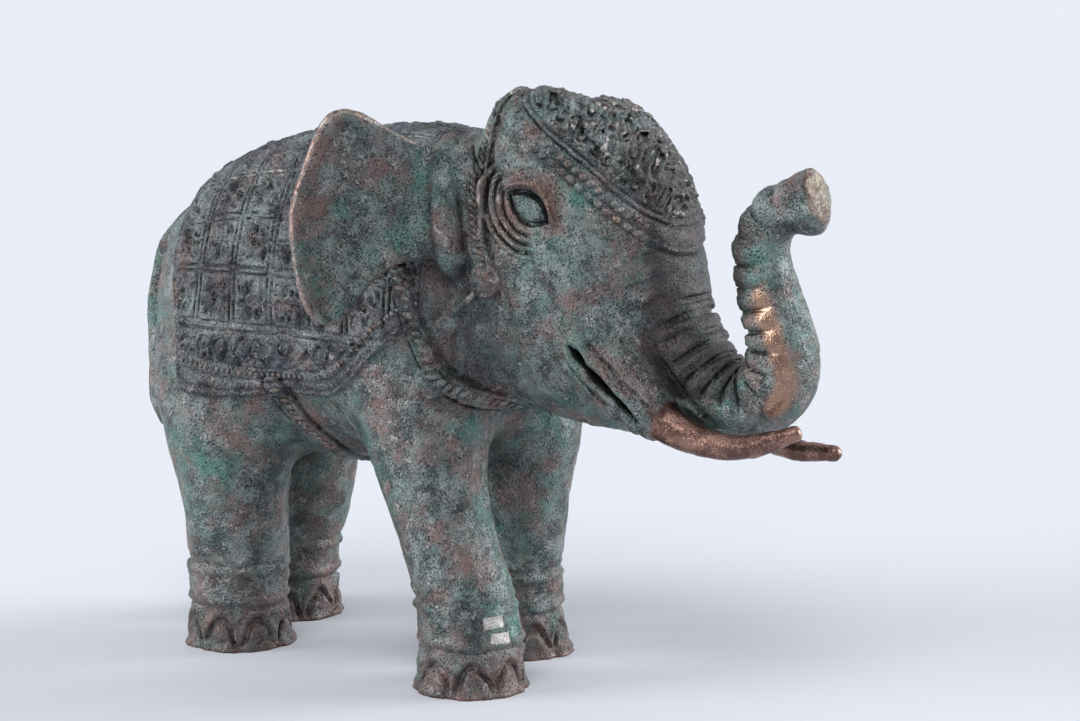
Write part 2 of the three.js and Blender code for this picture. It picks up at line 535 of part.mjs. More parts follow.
// The surface where a field is zero, as a closed net of triangles with one vertex for each sheet of
// it in a cell of a grid. Blocks of cells that lie far from the surface are skipped.
function contour(field, low, high, cell, blockCells) {
  const count = low.map((l, i) => Math.ceil((high[i] - l) / cell / blockCells) * blockCells + 1);
  const [nx, ny, nz] = count;
  const values = new Float32Array(nx * ny * nz).fill(1);
  const at = (i, j, k) => (i * ny + j) * nz + k;
  const place = (i, axis) => low[axis] + i * cell;
  const known = new Uint8Array(values.length);
  const reach = blockCells * cell;
  for (let bi = 0; bi < nx - 1; bi += blockCells)
    for (let bj = 0; bj < ny - 1; bj += blockCells)
      for (let bk = 0; bk < nz - 1; bk += blockCells) {
        const half = reach / 2;
        const middle = field(place(bi, 0) + half, place(bj, 1) + half, place(bk, 2) + half);
        const far = Math.abs(middle) > reach * 1.15;
        for (let i = bi; i <= bi + blockCells; i++)
          for (let j = bj; j <= bj + blockCells; j++)
            for (let k = bk; k <= bk + blockCells; k++) {
              const n = at(i, j, k);
              if (known[n]) continue;
              if (far) {
                values[n] = middle;
              } else {
                values[n] = field(place(i, 0), place(j, 1), place(k, 2)) || FILLED_DEPTH;
                known[n] = 1;
              }
            }
      }
  joinDiagonals(values, count);
  const sheets = new Map();
  const positions = [];
  for (let i = 0; i < nx - 1; i++)
    for (let j = 0; j < ny - 1; j++)
      for (let k = 0; k < nz - 1; k++) {
        const v = CELL_CORNERS.map(([a, b, c]) => values[at(i + a, j + b, k + c)]);
        const inside = v.filter((d) => d < 0).length;
        if (inside === 0 || inside === 8) continue;
        const crossed = CELL_EDGES.map(([p, q]) => v[p] < 0 !== v[q] < 0);
        const sheet = CELL_EDGES.map((_, e) => e);
        const root = (e) => (sheet[e] === e ? e : root(sheet[e]));
        for (const face of CELL_FACES) {
          const cut = face.filter((e) => crossed[e]);
          if (cut.length) sheet[root(cut[1])] = root(cut[0]);
        }
        const vertices = new Int32Array(12).fill(-1);
        const sums = new Map();
        CELL_EDGES.forEach(([p, q, axis], e) => {
          if (!crossed[e]) return;
          const sum = sums.get(root(e)) ?? [0, 0, 0, 0];
          const t = v[p] / (v[p] - v[q]);
          for (let n = 0; n < 3; n++) sum[n] += CELL_CORNERS[p][n] + (n === axis ? t : 0);
          sum[3]++;
          sums.set(root(e), sum);
        });
        for (const [top, sum] of sums) {
          CELL_EDGES.forEach((_, e) => {
            if (crossed[e] && root(e) === top) vertices[e] = positions.length / 3;
          });
          positions.push(
            place(i + sum[0] / sum[3], 0), place(j + sum[1] / sum[3], 1), place(k + sum[2] / sum[3], 2));
        }
        sheets.set(at(i, j, k), vertices);
      }
  const triangles = [];
  const step = (axis, n) => [0, 1, 2].map((m) => (m === axis ? n : 0));
  for (let i = 1; i < nx - 1; i++)
    for (let j = 1; j < ny - 1; j++)
      for (let k = 1; k < nz - 1; k++)
        for (let axis = 0; axis < 3; axis++) {
          const here = values[at(i, j, k)] < 0;
          const [si, sj, sk] = step(axis, 1);
          if (here === values[at(i + si, j + sj, k + sk)] < 0) continue;
          const one = (axis + 1) % 3;
          const two = (axis + 2) % 3;
          const ring = [[1, 1], [0, 1], [0, 0], [1, 0]].map(([m, n]) => {
            const [oi, oj, ok] = step(one, m).map((s, x) => s + step(two, n)[x]);
            return sheets.get(at(i - oi, j - oj, k - ok))[EDGE_AT[`${(m << one) | (n << two)} ${axis}`]];
          });
          const [a, b, c, d] = here ? ring : ring.reverse();
          triangles.push(a, b, c, a, c, d);
        }
  return { positions: Float64Array.from(positions), triangles: Uint32Array.from(triangles) };
}

// A heap of edges to collapse, the cheapest on top.
class EdgeHeap {
  constructor() {
    this.items = [];
  }

  get size() {
    return this.items.length;
  }

  push(item) {
    const items = this.items;
    let i = items.push(item) - 1;
    while (i > 0) {
      const up = (i - 1) >> 1;
      if (items[up].cost <= items[i].cost) break;
      [items[up], items[i]] = [items[i], items[up]];
      i = up;
    }
  }

  pop() {
    const items = this.items;
    const first = items[0];
    const last = items.pop();
    if (items.length) {
      items[0] = last;
      let i = 0;
      for (;;) {
        let least = i;
        for (const child of [2 * i + 1, 2 * i + 2])
          if (child < items.length && items[child].cost < items[least].cost) least = child;
        if (least === i) break;
        [items[least], items[i]] = [items[i], items[least]];
        i = least;
      }
    }
    return first;
  }
}

// The place that lies nearest to all the planes gathered in a quadric, or the middle of the edge
// where the planes leave it free; with its cost.
function bestPlace(q, p, r) {
  const [a, b, c, d, e, f, g, h, i, j] = q;
  const det = a * (e * h - f * f) - b * (b * h - f * c) + c * (b * f - e * c);
  const cost = (x, y, z) => a * x * x + 2 * b * x * y + 2 * c * x * z + 2 * d * x + e * y * y
    + 2 * f * y * z + 2 * g * y + h * z * z + 2 * i * z + j;
  const span = Math.hypot(p[0] - r[0], p[1] - r[1], p[2] - r[2]);
  const middle = [0, 1, 2].map((n) => (p[n] + r[n]) / 2);
  if (Math.abs(det) > 1e-7) {
    const x = (-d * (e * h - f * f) + g * (b * h - c * f) - i * (b * f - c * e)) / det;
    const y = (d * (b * h - f * c) - g * (a * h - c * c) + i * (a * f - b * c)) / det;
    const z = (-d * (b * f - e * c) + g * (a * f - b * c) - i * (a * e - b * b)) / det;
    if (Math.hypot(x - middle[0], y - middle[1], z - middle[2]) < 2 * span)
      return { place: [x, y, z], cost: cost(x, y, z) };
  }
  let best = { place: middle, cost: cost(...middle) };
  for (const end of [p, r]) {
    const endCost = cost(...end);
    if (endCost < best.cost) best = { place: [...end], cost: endCost };
  }
  return best;
}

// Fewer triangles for the same surface: the edge whose loss moves the surface least goes first.
function thin({ positions, triangles }, wanted) {
  const places = Array.from({ length: positions.length / 3 }, (_, i) => [...positions.slice(3 * i, 3 * i + 3)]);
  const faces = Array.from({ length: triangles.length / 3 }, (_, i) => [...triangles.slice(3 * i, 3 * i + 3)]);
  const around = places.map(() => new Set());
  const quadrics = places.map(() => new Float64Array(10));
  const normalOf = (p, q, r) => {
    const [ux, uy, uz] = [q[0] - p[0], q[1] - p[1], q[2] - p[2]];
    const [vx, vy, vz] = [r[0] - p[0], r[1] - p[1], r[2] - p[2]];
    return [uy * vz - uz * vy, uz * vx - ux * vz, ux * vy - uy * vx];
  };
  faces.forEach((face, index) => {
    const [p, q, r] = face.map((v) => places[v]);
    const normal = normalOf(p, q, r);
    const area = Math.hypot(...normal);
    const [nx, ny, nz] = normal.map((n) => n / (area || 1));
    const away = -(nx * p[0] + ny * p[1] + nz * p[2]);
    const parts = [nx * nx, nx * ny, nx * nz, nx * away, ny * ny, ny * nz, ny * away, nz * nz, nz * away, away * away];
    for (const v of face) {
      around[v].add(index);
      for (let n = 0; n < 10; n++) quadrics[v][n] += parts[n] * area;
    }
  });
  const stamps = new Int32Array(places.length);
  const heap = new EdgeHeap();
  const offer = (v, w) => {
    const sum = quadrics[v].map((n, k) => n + quadrics[w][k]);
    const { place, cost } = bestPlace(sum, places[v], places[w]);
    const span = Math.hypot(...places[v].map((n, k) => n - places[w][k]));
    heap.push({ v, w, place, cost: cost + 1e-5 * span * span, at: stamps[v] + stamps[w] });
  };
  const neighbours = (v) => {
    const found = new Set();
    for (const index of around[v]) for (const w of faces[index]) if (w !== v) found.add(w);
    return found;
  };
  for (const face of faces)
    for (let n = 0; n < 3; n++)
      if (face[n] < face[(n + 1) % 3]) offer(face[n], face[(n + 1) % 3]);
  const turnsOver = (v, w, place) => {
    for (const index of around[v]) {
      const face = faces[index];
      if (face.includes(w)) continue;
      const before = normalOf(...face.map((u) => places[u]));
      const after = normalOf(...face.map((u) => (u === v ? place : places[u])));
      const dot = before[0] * after[0] + before[1] * after[1] + before[2] * after[2];
      if (dot < 0.25 * Math.hypot(...before) * Math.hypot(...after)) return true;
      const longest = Math.max(...[0, 1, 2].map((n) => {
        const [a, b] = [face[n], face[(n + 1) % 3]].map((u) => (u === v ? place : places[u]));
        return Math.hypot(a[0] - b[0], a[1] - b[1], a[2] - b[2]);
      }));
      if (Math.hypot(...after) < SLIVER * longest * longest) return true;
    }
    return false;
  };
  let left = faces.length;
  while (left > wanted && heap.size) {
    const { v, w, place, at } = heap.pop();
    if (!around[v] || !around[w] || at !== stamps[v] + stamps[w]) continue;
    const shared = [...around[v]].filter((index) => around[w].has(index));
    if (shared.length !== 2) continue;
    const beyond = neighbours(w);
    if ([...neighbours(v)].filter((u) => beyond.has(u)).length !== 2) continue;
    if (turnsOver(v, w, place) || turnsOver(w, v, place)) continue;
    for (const index of shared) {
      for (const u of faces[index]) around[u].delete(index);
      left--;
    }
    for (const index of around[w]) {
      faces[index][faces[index].indexOf(w)] = v;
      around[v].add(index);
    }
    around[w] = null;
    places[v] = place;
    for (let n = 0; n < 10; n++) quadrics[v][n] += quadrics[w][n];
    stamps[v] += 1 + stamps[w];
    for (const u of neighbours(v)) offer(v, u);
  }
  const renumbered = new Map();
  const vertices = [];
  const corners = [];
  const alive = new Set();
  for (const set of around) if (set) for (const index of set) alive.add(index);
  for (const index of alive)
    for (const v of faces[index]) {
      if (!renumbered.has(v)) {
        renumbered.set(v, vertices.length / 3);
        vertices.push(...places[v]);
      }
      corners.push(renumbered.get(v));
    }
  return { positions: Float32Array.from(vertices), triangles: Uint32Array.from(corners) };
}

const { Manifold, Mesh } = await Module().then((kit) => {
  kit.setup();
  return kit;
});

function solidOf(positions, triangles) {
  const mesh = new Mesh({ numProp: 3, vertProperties: positions, triVerts: triangles });
  mesh.merge();
  return new Manifold(mesh);
}

// The casting, with all below the floor cut away so that it stands on four flat soles.
function casting() {
  const net = contour(elephant, POSE_LOW, POSE_HIGH, CELL, BLOCK_CELLS);
  const { positions, triangles } = thin(net, TRIANGLES);
  const below = new THREE.BoxGeometry(POSE_HEIGHT * 2, POSE_HEIGHT * 3, POSE_HEIGHT / 2);
  below.translate(0, 0, -POSE_HEIGHT / 4);
  const floor = solidOf(Float32Array.from(below.attributes.position.array), Uint32Array.from(below.index.array));
  const standing = solidOf(positions, triangles).subtract(floor).getMesh();
  const geometry = new THREE.BufferGeometry();
  geometry.setAttribute("position", new THREE.BufferAttribute(Float32Array.from(standing.vertProperties), 3));
  geometry.setIndex(new THREE.BufferAttribute(Uint32Array.from(standing.triVerts), 1));
  geometry.scale(UNIT, UNIT, UNIT);
  geometry.computeBoundingBox();
  const { min, max } = geometry.boundingBox;
  geometry.translate(-(min.x + max.x) / 2, -(min.y + max.y) / 2, -min.z);
  geometry.computeVertexNormals();
  return geometry;
}

const PATINA = new THREE.MeshStandardMaterial({ color: 0x4a5a52, roughness: 0.55, metalness: 0.6 });

const figure = new THREE.Group();
figure.name = "bronze_elephant";
const elephantMesh = new THREE.Mesh(casting(), PATINA);
elephantMesh.name = "elephant";
figure.add(elephantMesh);

export default figure;
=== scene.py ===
"""A cast bronze elephant in a decorated cloth, standing on its own four feet.

The casting is one closed body, so its shape is one field of signed distances, carved finely and
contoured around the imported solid. Places on it are given in units of its pose: the head looks
along -Y, its left side is +X, the floor is at zero, and the figure is POSE_HEIGHT units high.
"""

import logging
import math
from dataclasses import dataclass, field
from enum import Enum
from functools import cached_property
from typing import Callable, Sequence

import bpy
import numpy as np
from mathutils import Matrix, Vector


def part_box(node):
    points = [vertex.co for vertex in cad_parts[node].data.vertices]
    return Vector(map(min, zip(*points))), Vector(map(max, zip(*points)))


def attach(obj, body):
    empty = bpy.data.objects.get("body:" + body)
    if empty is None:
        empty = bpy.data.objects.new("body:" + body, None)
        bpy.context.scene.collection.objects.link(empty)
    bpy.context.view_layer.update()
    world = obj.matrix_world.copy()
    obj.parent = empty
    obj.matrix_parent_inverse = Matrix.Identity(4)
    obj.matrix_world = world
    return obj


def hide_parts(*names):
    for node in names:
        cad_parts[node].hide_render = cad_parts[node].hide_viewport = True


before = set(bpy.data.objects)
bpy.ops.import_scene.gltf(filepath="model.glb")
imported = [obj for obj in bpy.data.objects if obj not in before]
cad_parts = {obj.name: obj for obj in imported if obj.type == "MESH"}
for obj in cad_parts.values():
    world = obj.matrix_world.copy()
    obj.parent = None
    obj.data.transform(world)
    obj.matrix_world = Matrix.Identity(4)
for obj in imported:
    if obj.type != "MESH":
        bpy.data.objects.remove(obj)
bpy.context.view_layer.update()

log = logging.getLogger("elephant")

Array = np.ndarray
Row = Sequence[float]
Rows = Sequence[Row]
Field = Callable[[Array], Array]

SOLID = "elephant"
BODY = "root"
POSE_HEIGHT = 148.2
POSE_LOW = (-64.0, -138.0, -6.0)
POSE_HIGH = (64.0, 78.0, 154.0)
CLEAR_OF_FILLETS = 9.0
FAR = 1e3
TURN = 2 * math.pi


def blend(a: Array, b: Array, fillet: float) -> Array:
    """Join two fields with a fillet where they meet.

    Args:
        a: Distances to the first surface.
        b: Distances to the second surface.
        fillet: About the size of the fillet.

    Returns:
        Distances to the joined surface.
    """
    h = np.maximum(fillet - np.abs(a - b), 0) / fillet
    return np.minimum(a, b) - h * h * (fillet / 4)


def overlap(a: Array, b: Array, rounding: float) -> Array:
    """Keep what two fields share, with the edge between them rounded."""
    return -blend(-a, -b, rounding)


def carve(a: Array, b: Array, rounding: float) -> Array:
    """Take the second field out of the first."""
    return overlap(a, -b, rounding)


def smoothstep(low: float, high: float, value: Array) -> Array:
    """Rise smoothly from nought at low to one at high."""
    t = np.clip((value - low) / (high - low), 0, 1)
    return t * t * (3 - 2 * t)


def stroke(distance: Array, width: float) -> Array:
    """Be one at the middle of a line and nought past its edges."""
    return 1 - smoothstep(0, width / 2, np.abs(distance))


def smooth_rows(rows: Rows, steps: int) -> Array:
    """Sample rows of numbers evenly along a smooth curve through them.

    Args:
        rows: The rows that the curve passes through.
        steps: How many equal steps it is cut into.

    Returns:
        The sampled rows, one more than the steps.
    """
    known = np.asarray(rows, float)
    last = len(known) - 1
    at = np.linspace(0, last, steps + 1)
    i = np.minimum(at.astype(int), last - 1)
    t = (at - i)[:, None]
    a, b, c, d = (known[np.clip(i + n, 0, last)] for n in (-1, 0, 1, 2))
    curve = 2 * b + (c - a) * t + (2 * a - 5 * b + 4 * c - d) * t**2 + (3 * b - a - 3 * c + d) * t**3
    return 0.5 * curve


def near_only(p: Array, low: Row, high: Row, shape: Field, clear: float = CLEAR_OF_FILLETS) -> Array:
    """Work out a field only near its box; farther off, the distance to the box serves.

    Args:
        p: Places, one column each.
        low: Lowest corner of the box.
        high: Highest corner of the box.
        shape: The field, for the places near the box.
        clear: How near is near.

    Returns:
        Distances for all the places.
    """
    away = np.full(p.shape[1], -FAR, np.float32)
    for axis in range(3):
        np.maximum(away, low[axis] - p[axis], out=away)
        np.maximum(away, p[axis] - high[axis], out=away)
    near = np.flatnonzero(away < clear)
    if near.size:
        away[near] = shape(p[:, near])
    return away


def mirrored(p: Array) -> Array:
    """Fold the left and right sides of the figure onto one."""
    return np.stack((np.abs(p[0]), p[1], p[2]))


class Grain:
    """Smooth random values in space, the same on every run."""

    SIDE = 32
    SEED = 7

    def __init__(self) -> None:
        """Draw the table of random values that every lookup reads."""
        self.table = np.random.default_rng(self.SEED).uniform(-1, 1, (self.SIDE,) * 3).astype(np.float32)

    def at(self, p: Array, size: float) -> Array:
        """Read the random values at places.

        Args:
            p: Places, one column each.
            size: About how far apart two bumps are.

        Returns:
            Values between -1 and 1.
        """
        q = p / size + self.SIDE * 8
        cell = q.astype(np.int32)
        t = q - cell
        t = t * t * (3 - 2 * t)
        i0, j0, k0 = cell % self.SIDE
        i1, j1, k1 = (cell + 1) % self.SIDE
        u, v, w = t
        table = self.table
        rows = []
        for i in (i0, i1):
            near = table[i, j0, k0] * (1 - w) + table[i, j0, k1] * w
            far = table[i, j1, k0] * (1 - w) + table[i, j1, k1] * w
            rows.append(near * (1 - v) + far * v)
        return rows[0] * (1 - u) + rows[1] * u


GRAIN = Grain()


@dataclass(frozen=True)
class Ellipsoid:
    """An ellipsoid, turned about X by a tilt in radians."""

    centre: Row
    radii: Row
    tilt: float = 0.0

    def __call__(self, p: Array) -> Array:
        """Give the distances of places from the surface."""
        rx, ry, rz = self.radii
        c, s = math.cos(self.tilt), math.sin(self.tilt)
        ex, ey, ez = (p[n] - self.centre[n] for n in range(3))
        px = ex / rx
        py = (c * ey + s * ez) / ry
        pz = (c * ez - s * ey) / rz
        near = np.sqrt(px * px + py * py + pz * pz)
        slope = np.sqrt((px / rx) ** 2 + (py / ry) ** 2 + (pz / rz) ** 2)
        return near * (near - 1) / np.maximum(slope, 1e-6)


@dataclass(frozen=True)
class Rod:
    """A round rod through rows of x, y, z and radius."""

    rows: Rows
    steps: int = 12

    @cached_property
    def samples(self) -> Array:
        """The rows, sampled along a smooth curve."""
        return smooth_rows(self.rows, self.steps).astype(np.float32)

    def __call__(self, p: Array) -> Array:
        """Give the distances of places from the surface."""
        places, radii = self.samples[:, :3], self.samples[:, 3:]
        return near_only(p, (places - radii).min(0), (places + radii).max(0), self._near)

    def _near(self, p: Array) -> Array:
        """Give the distances of places that lie near the rod."""
        best = np.full(p.shape[1], FAR, np.float32)
        for a, b in zip(self.samples, self.samples[1:]):
            way = b[:3] - a[:3]
            x, y, z = (p[n] - a[n] for n in range(3))
            t = np.clip((x * way[0] + y * way[1] + z * way[2]) / (way @ way), 0, 1)
            off = np.sqrt((x - t * way[0]) ** 2 + (y - t * way[1]) ** 2 + (z - t * way[2]) ** 2)
            np.minimum(best, off - (a[3] + t * (b[3] - a[3])), out=best)
        return best


@dataclass(frozen=True)
class Limb:
    """An upright limb through rows of z, x, y, half width and half length, with an oval section."""

    rows: Rows
    steps: int = 60
    end_round: float = 4.0

    @cached_property
    def samples(self) -> Array:
        """The rows, sampled along a smooth curve."""
        return smooth_rows(self.rows, self.steps).astype(np.float32)

    def __call__(self, p: Array) -> Array:
        """Give the distances of places from the surface."""
        z, x, y, wide, long = self.samples.T
        low = ((x - wide).min(), (y - long).min(), z[0])
        high = ((x + wide).max(), (y + long).max(), z[-1])
        return near_only(p, low, high, self._near)

    def _near(self, p: Array) -> Array:
        """Give the distances of places that lie near the limb."""
        z = self.samples[:, 0]
        level = np.clip(p[2], z[0], z[-1])
        x, y, wide, long = (np.interp(level, z, self.samples[:, n]).astype(np.float32) for n in (1, 2, 3, 4))
        across, through = (p[0] - x) / wide, (p[1] - y) / long
        side = (np.sqrt(across**2 + through**2) - 1) * np.minimum(wide, long)
        return overlap(side, np.maximum(z[0] - p[2], p[2] - z[-1]), self.end_round)


@dataclass(frozen=True)
class Line:
    """A line in the upright plane, through rows of y and z, as seen from the side."""

    rows: Rows
    steps: int = 14

    @cached_property
    def samples(self) -> Array:
        """The rows, sampled along a smooth curve."""
        return smooth_rows(self.rows, self.steps).astype(np.float32)

    def nearest(self, p: Array) -> tuple[Array, Array]:
        """Find the nearest places on the line.

        Args:
            p: Places, one column each.

        Returns:
            How far off the line each place is, and how far along it.
        """
        off = np.full(p.shape[1], FAR, np.float32)
        along = np.zeros(p.shape[1], np.float32)
        start = 0.0
        for a, b in zip(self.samples, self.samples[1:]):
            way = b - a
            length = float(np.hypot(*way))
            y, z = p[1] - a[0], p[2] - a[1]
            t = np.clip((y * way[0] + z * way[1]) / length**2, 0, 1)
            here = np.hypot(y - t * way[0], z - t * way[1])
            closer = here < off
            off = np.where(closer, here, off)
            along = np.where(closer, start + t * length, along)
            start += length
        return off, along


def curl(a: Array, b: Array, pitch: float, hand: Array) -> Array:
    """A ridge that winds outwards about a centre.

    Args:
        a: First coordinate from the centre.
        b: Second coordinate from the centre.
        pitch: How far the ridge moves out in a turn.
        hand: One to wind one way, and minus one the other.

    Returns:
        One on the ridge and minus one in the groove.
    """
    reach = np.hypot(a, b) / pitch
    turns = np.arctan2(b, a) / TURN
    return np.cos(TURN * (reach - hand * turns))


@dataclass(frozen=True)
class Torso:
    """The barrel, the rump and the shoulders."""

    barrel: Field = Ellipsoid((0, 4, 93), (29.5, 52, 42.5))
    rump: Field = Ellipsoid((0, 33.5, 88), (24, 34.6, 35))
    shoulders: Field = Ellipsoid((0, -24, 97), (26, 29, 38))
    fillet: float = 14.0

    def shape(self, p: Array) -> Array:
        """Give the distances of places from the torso."""
        return blend(blend(self.barrel(p), self.rump(p), self.fillet), self.shoulders(p), self.fillet)


@dataclass(frozen=True)
class Leg:
    """A leg with its anklet and its nails."""

    rows: Rows
    foot: Row
    nails_face: float
    anklet: Row = (12.05, 21.54)
    anklet_relief: float = 0.75
    nail_turns: Row = (-90, -45, 0, 45, 90)
    nail_height: float = 6.8
    nail_width: float = 8.4
    nail_point: float = 1.7
    nail_relief: float = 0.85
    foot_radius: float = 13.6
    bead_pitch: float = 2.6

    @cached_property
    def limb(self) -> Limb:
        """The plain leg."""
        return Limb(self.rows)

    def shape(self, p: Array) -> Array:
        """Give the distances of places from the leg."""
        d = self.limb(p)
        carved = np.flatnonzero((d < 4) & (p[2] < self.anklet[1] + 4))
        if carved.size:
            d[carved] -= self._relief(p[:, carved])
        return d

    def _relief(self, p: Array) -> Array:
        """How far the anklet and the nails stand proud."""
        middle = sum(self.anklet) / 2
        half = (self.anklet[1] - self.anklet[0]) / 2
        level = np.abs(p[2] - middle + 0.6 * GRAIN.at(p, 5.3))
        band = 1 - smoothstep(half - 0.5, half + 0.5, level)
        dip = 1 - smoothstep(half - 2.2, half - 1.4, level)
        turn = np.arctan2(p[1] - self.foot[1], p[0] - self.foot[0])
        beads = np.cos(turn * round(TURN * self.foot_radius / self.bead_pitch)) * stroke(level, 2.4)
        creases = stroke(level - half - 0.9, 1.3)
        nail = np.zeros_like(level)
        groove = np.zeros_like(level)
        hood = np.zeros_like(level)
        for way in self.nail_turns:
            off = (np.degrees(turn) - self.nails_face - way) % 360
            across = np.abs(np.minimum(off, 360 - off) * math.pi * self.foot_radius / 180 + GRAIN.at(p, 3.4))
            arch = (across / (self.nail_width / 2)) ** self.nail_point
            arch += (np.maximum(p[2], 0) / self.nail_height) ** self.nail_point
            out = (arch ** (1 / self.nail_point) - 1) * self.nail_width / 2
            nail = np.maximum(nail, smoothstep(0.4, -0.6, out))
            groove = np.maximum(groove, stroke(out - 0.6, 1.7))
            hood = np.maximum(hood, stroke(out - 1.9, 1.7))
        above = smoothstep(0.5, 3, p[2])
        flare = 0.9 * smoothstep(2.4, 0.0, p[2])
        anklet = (band - 0.5 * dip + 0.25 * beads * dip - 0.45 * creases) * self.anklet_relief
        rough = 0.3 * GRAIN.at(p, 1.9) + 0.4 * GRAIN.at(p, 4.7)
        return anklet + (0.7 * nail + 0.6 * hood * above - groove * above) * self.nail_relief + flare + rough


LEGS = {
    "front right": Leg(
        ((-3, -18.9, -41.3, 13.8, 13.8), (7, -18.9, -41.2, 12.8, 12.9), (16, -18.9, -41, 12.4, 12.6),
         (26, -19, -38.6, 12.2, 12.6), (36, -18.8, -34.8, 12, 12.2), (48, -18.2, -30.3, 12.8, 13.6),
         (62, -17, -26.5, 14, 17), (82, -15.5, -23, 15, 22), (104, -13, -20, 13, 24)),
        (-18.9, -41.2), 262),
    "front left": Leg(
        ((-3, 17.3, -32, 13.6, 13.6), (7, 17.3, -31.4, 12.3, 12.5), (16, 17.4, -30.5, 11.7, 12),
         (26, 17.6, -30.8, 11.8, 12.2), (36, 17.6, -32, 12, 12.4), (48, 17.4, -33.2, 12.8, 13.4),
         (62, 17, -33, 14, 16), (82, 15.5, -28, 15, 20), (104, 13, -22, 13, 24)),
        (17.3, -31.6), 278),
    "hind right": Leg(
        ((-3, -16, 35, 13.5, 13.7), (7, -16, 35, 12.6, 12.9), (18, -16, 35, 12.5, 12.8),
         (28, -16.2, 35, 13, 13.6), (40, -16.6, 35.4, 13.6, 14.6), (54, -16.6, 37, 14.6, 18),
         (70, -16, 38, 15, 21), (90, -13, 34, 13, 22), (106, -8, 28, 10, 20)),
        (-16, 35), 241),
    "hind left": Leg(
        ((-3, 16.4, 43.2, 13.4, 13.4), (7, 16.4, 43, 12.4, 12.6), (18, 16.6, 42.4, 12, 12.4),
         (28, 17, 40.4, 12.8, 13.4), (40, 17, 38.6, 13.6, 14.6), (54, 17, 38, 14.6, 18),
         (70, 16, 38, 15, 21), (90, 13, 34, 13, 22), (106, 8, 28, 10, 20)),
        (16.4, 43), 299),
}


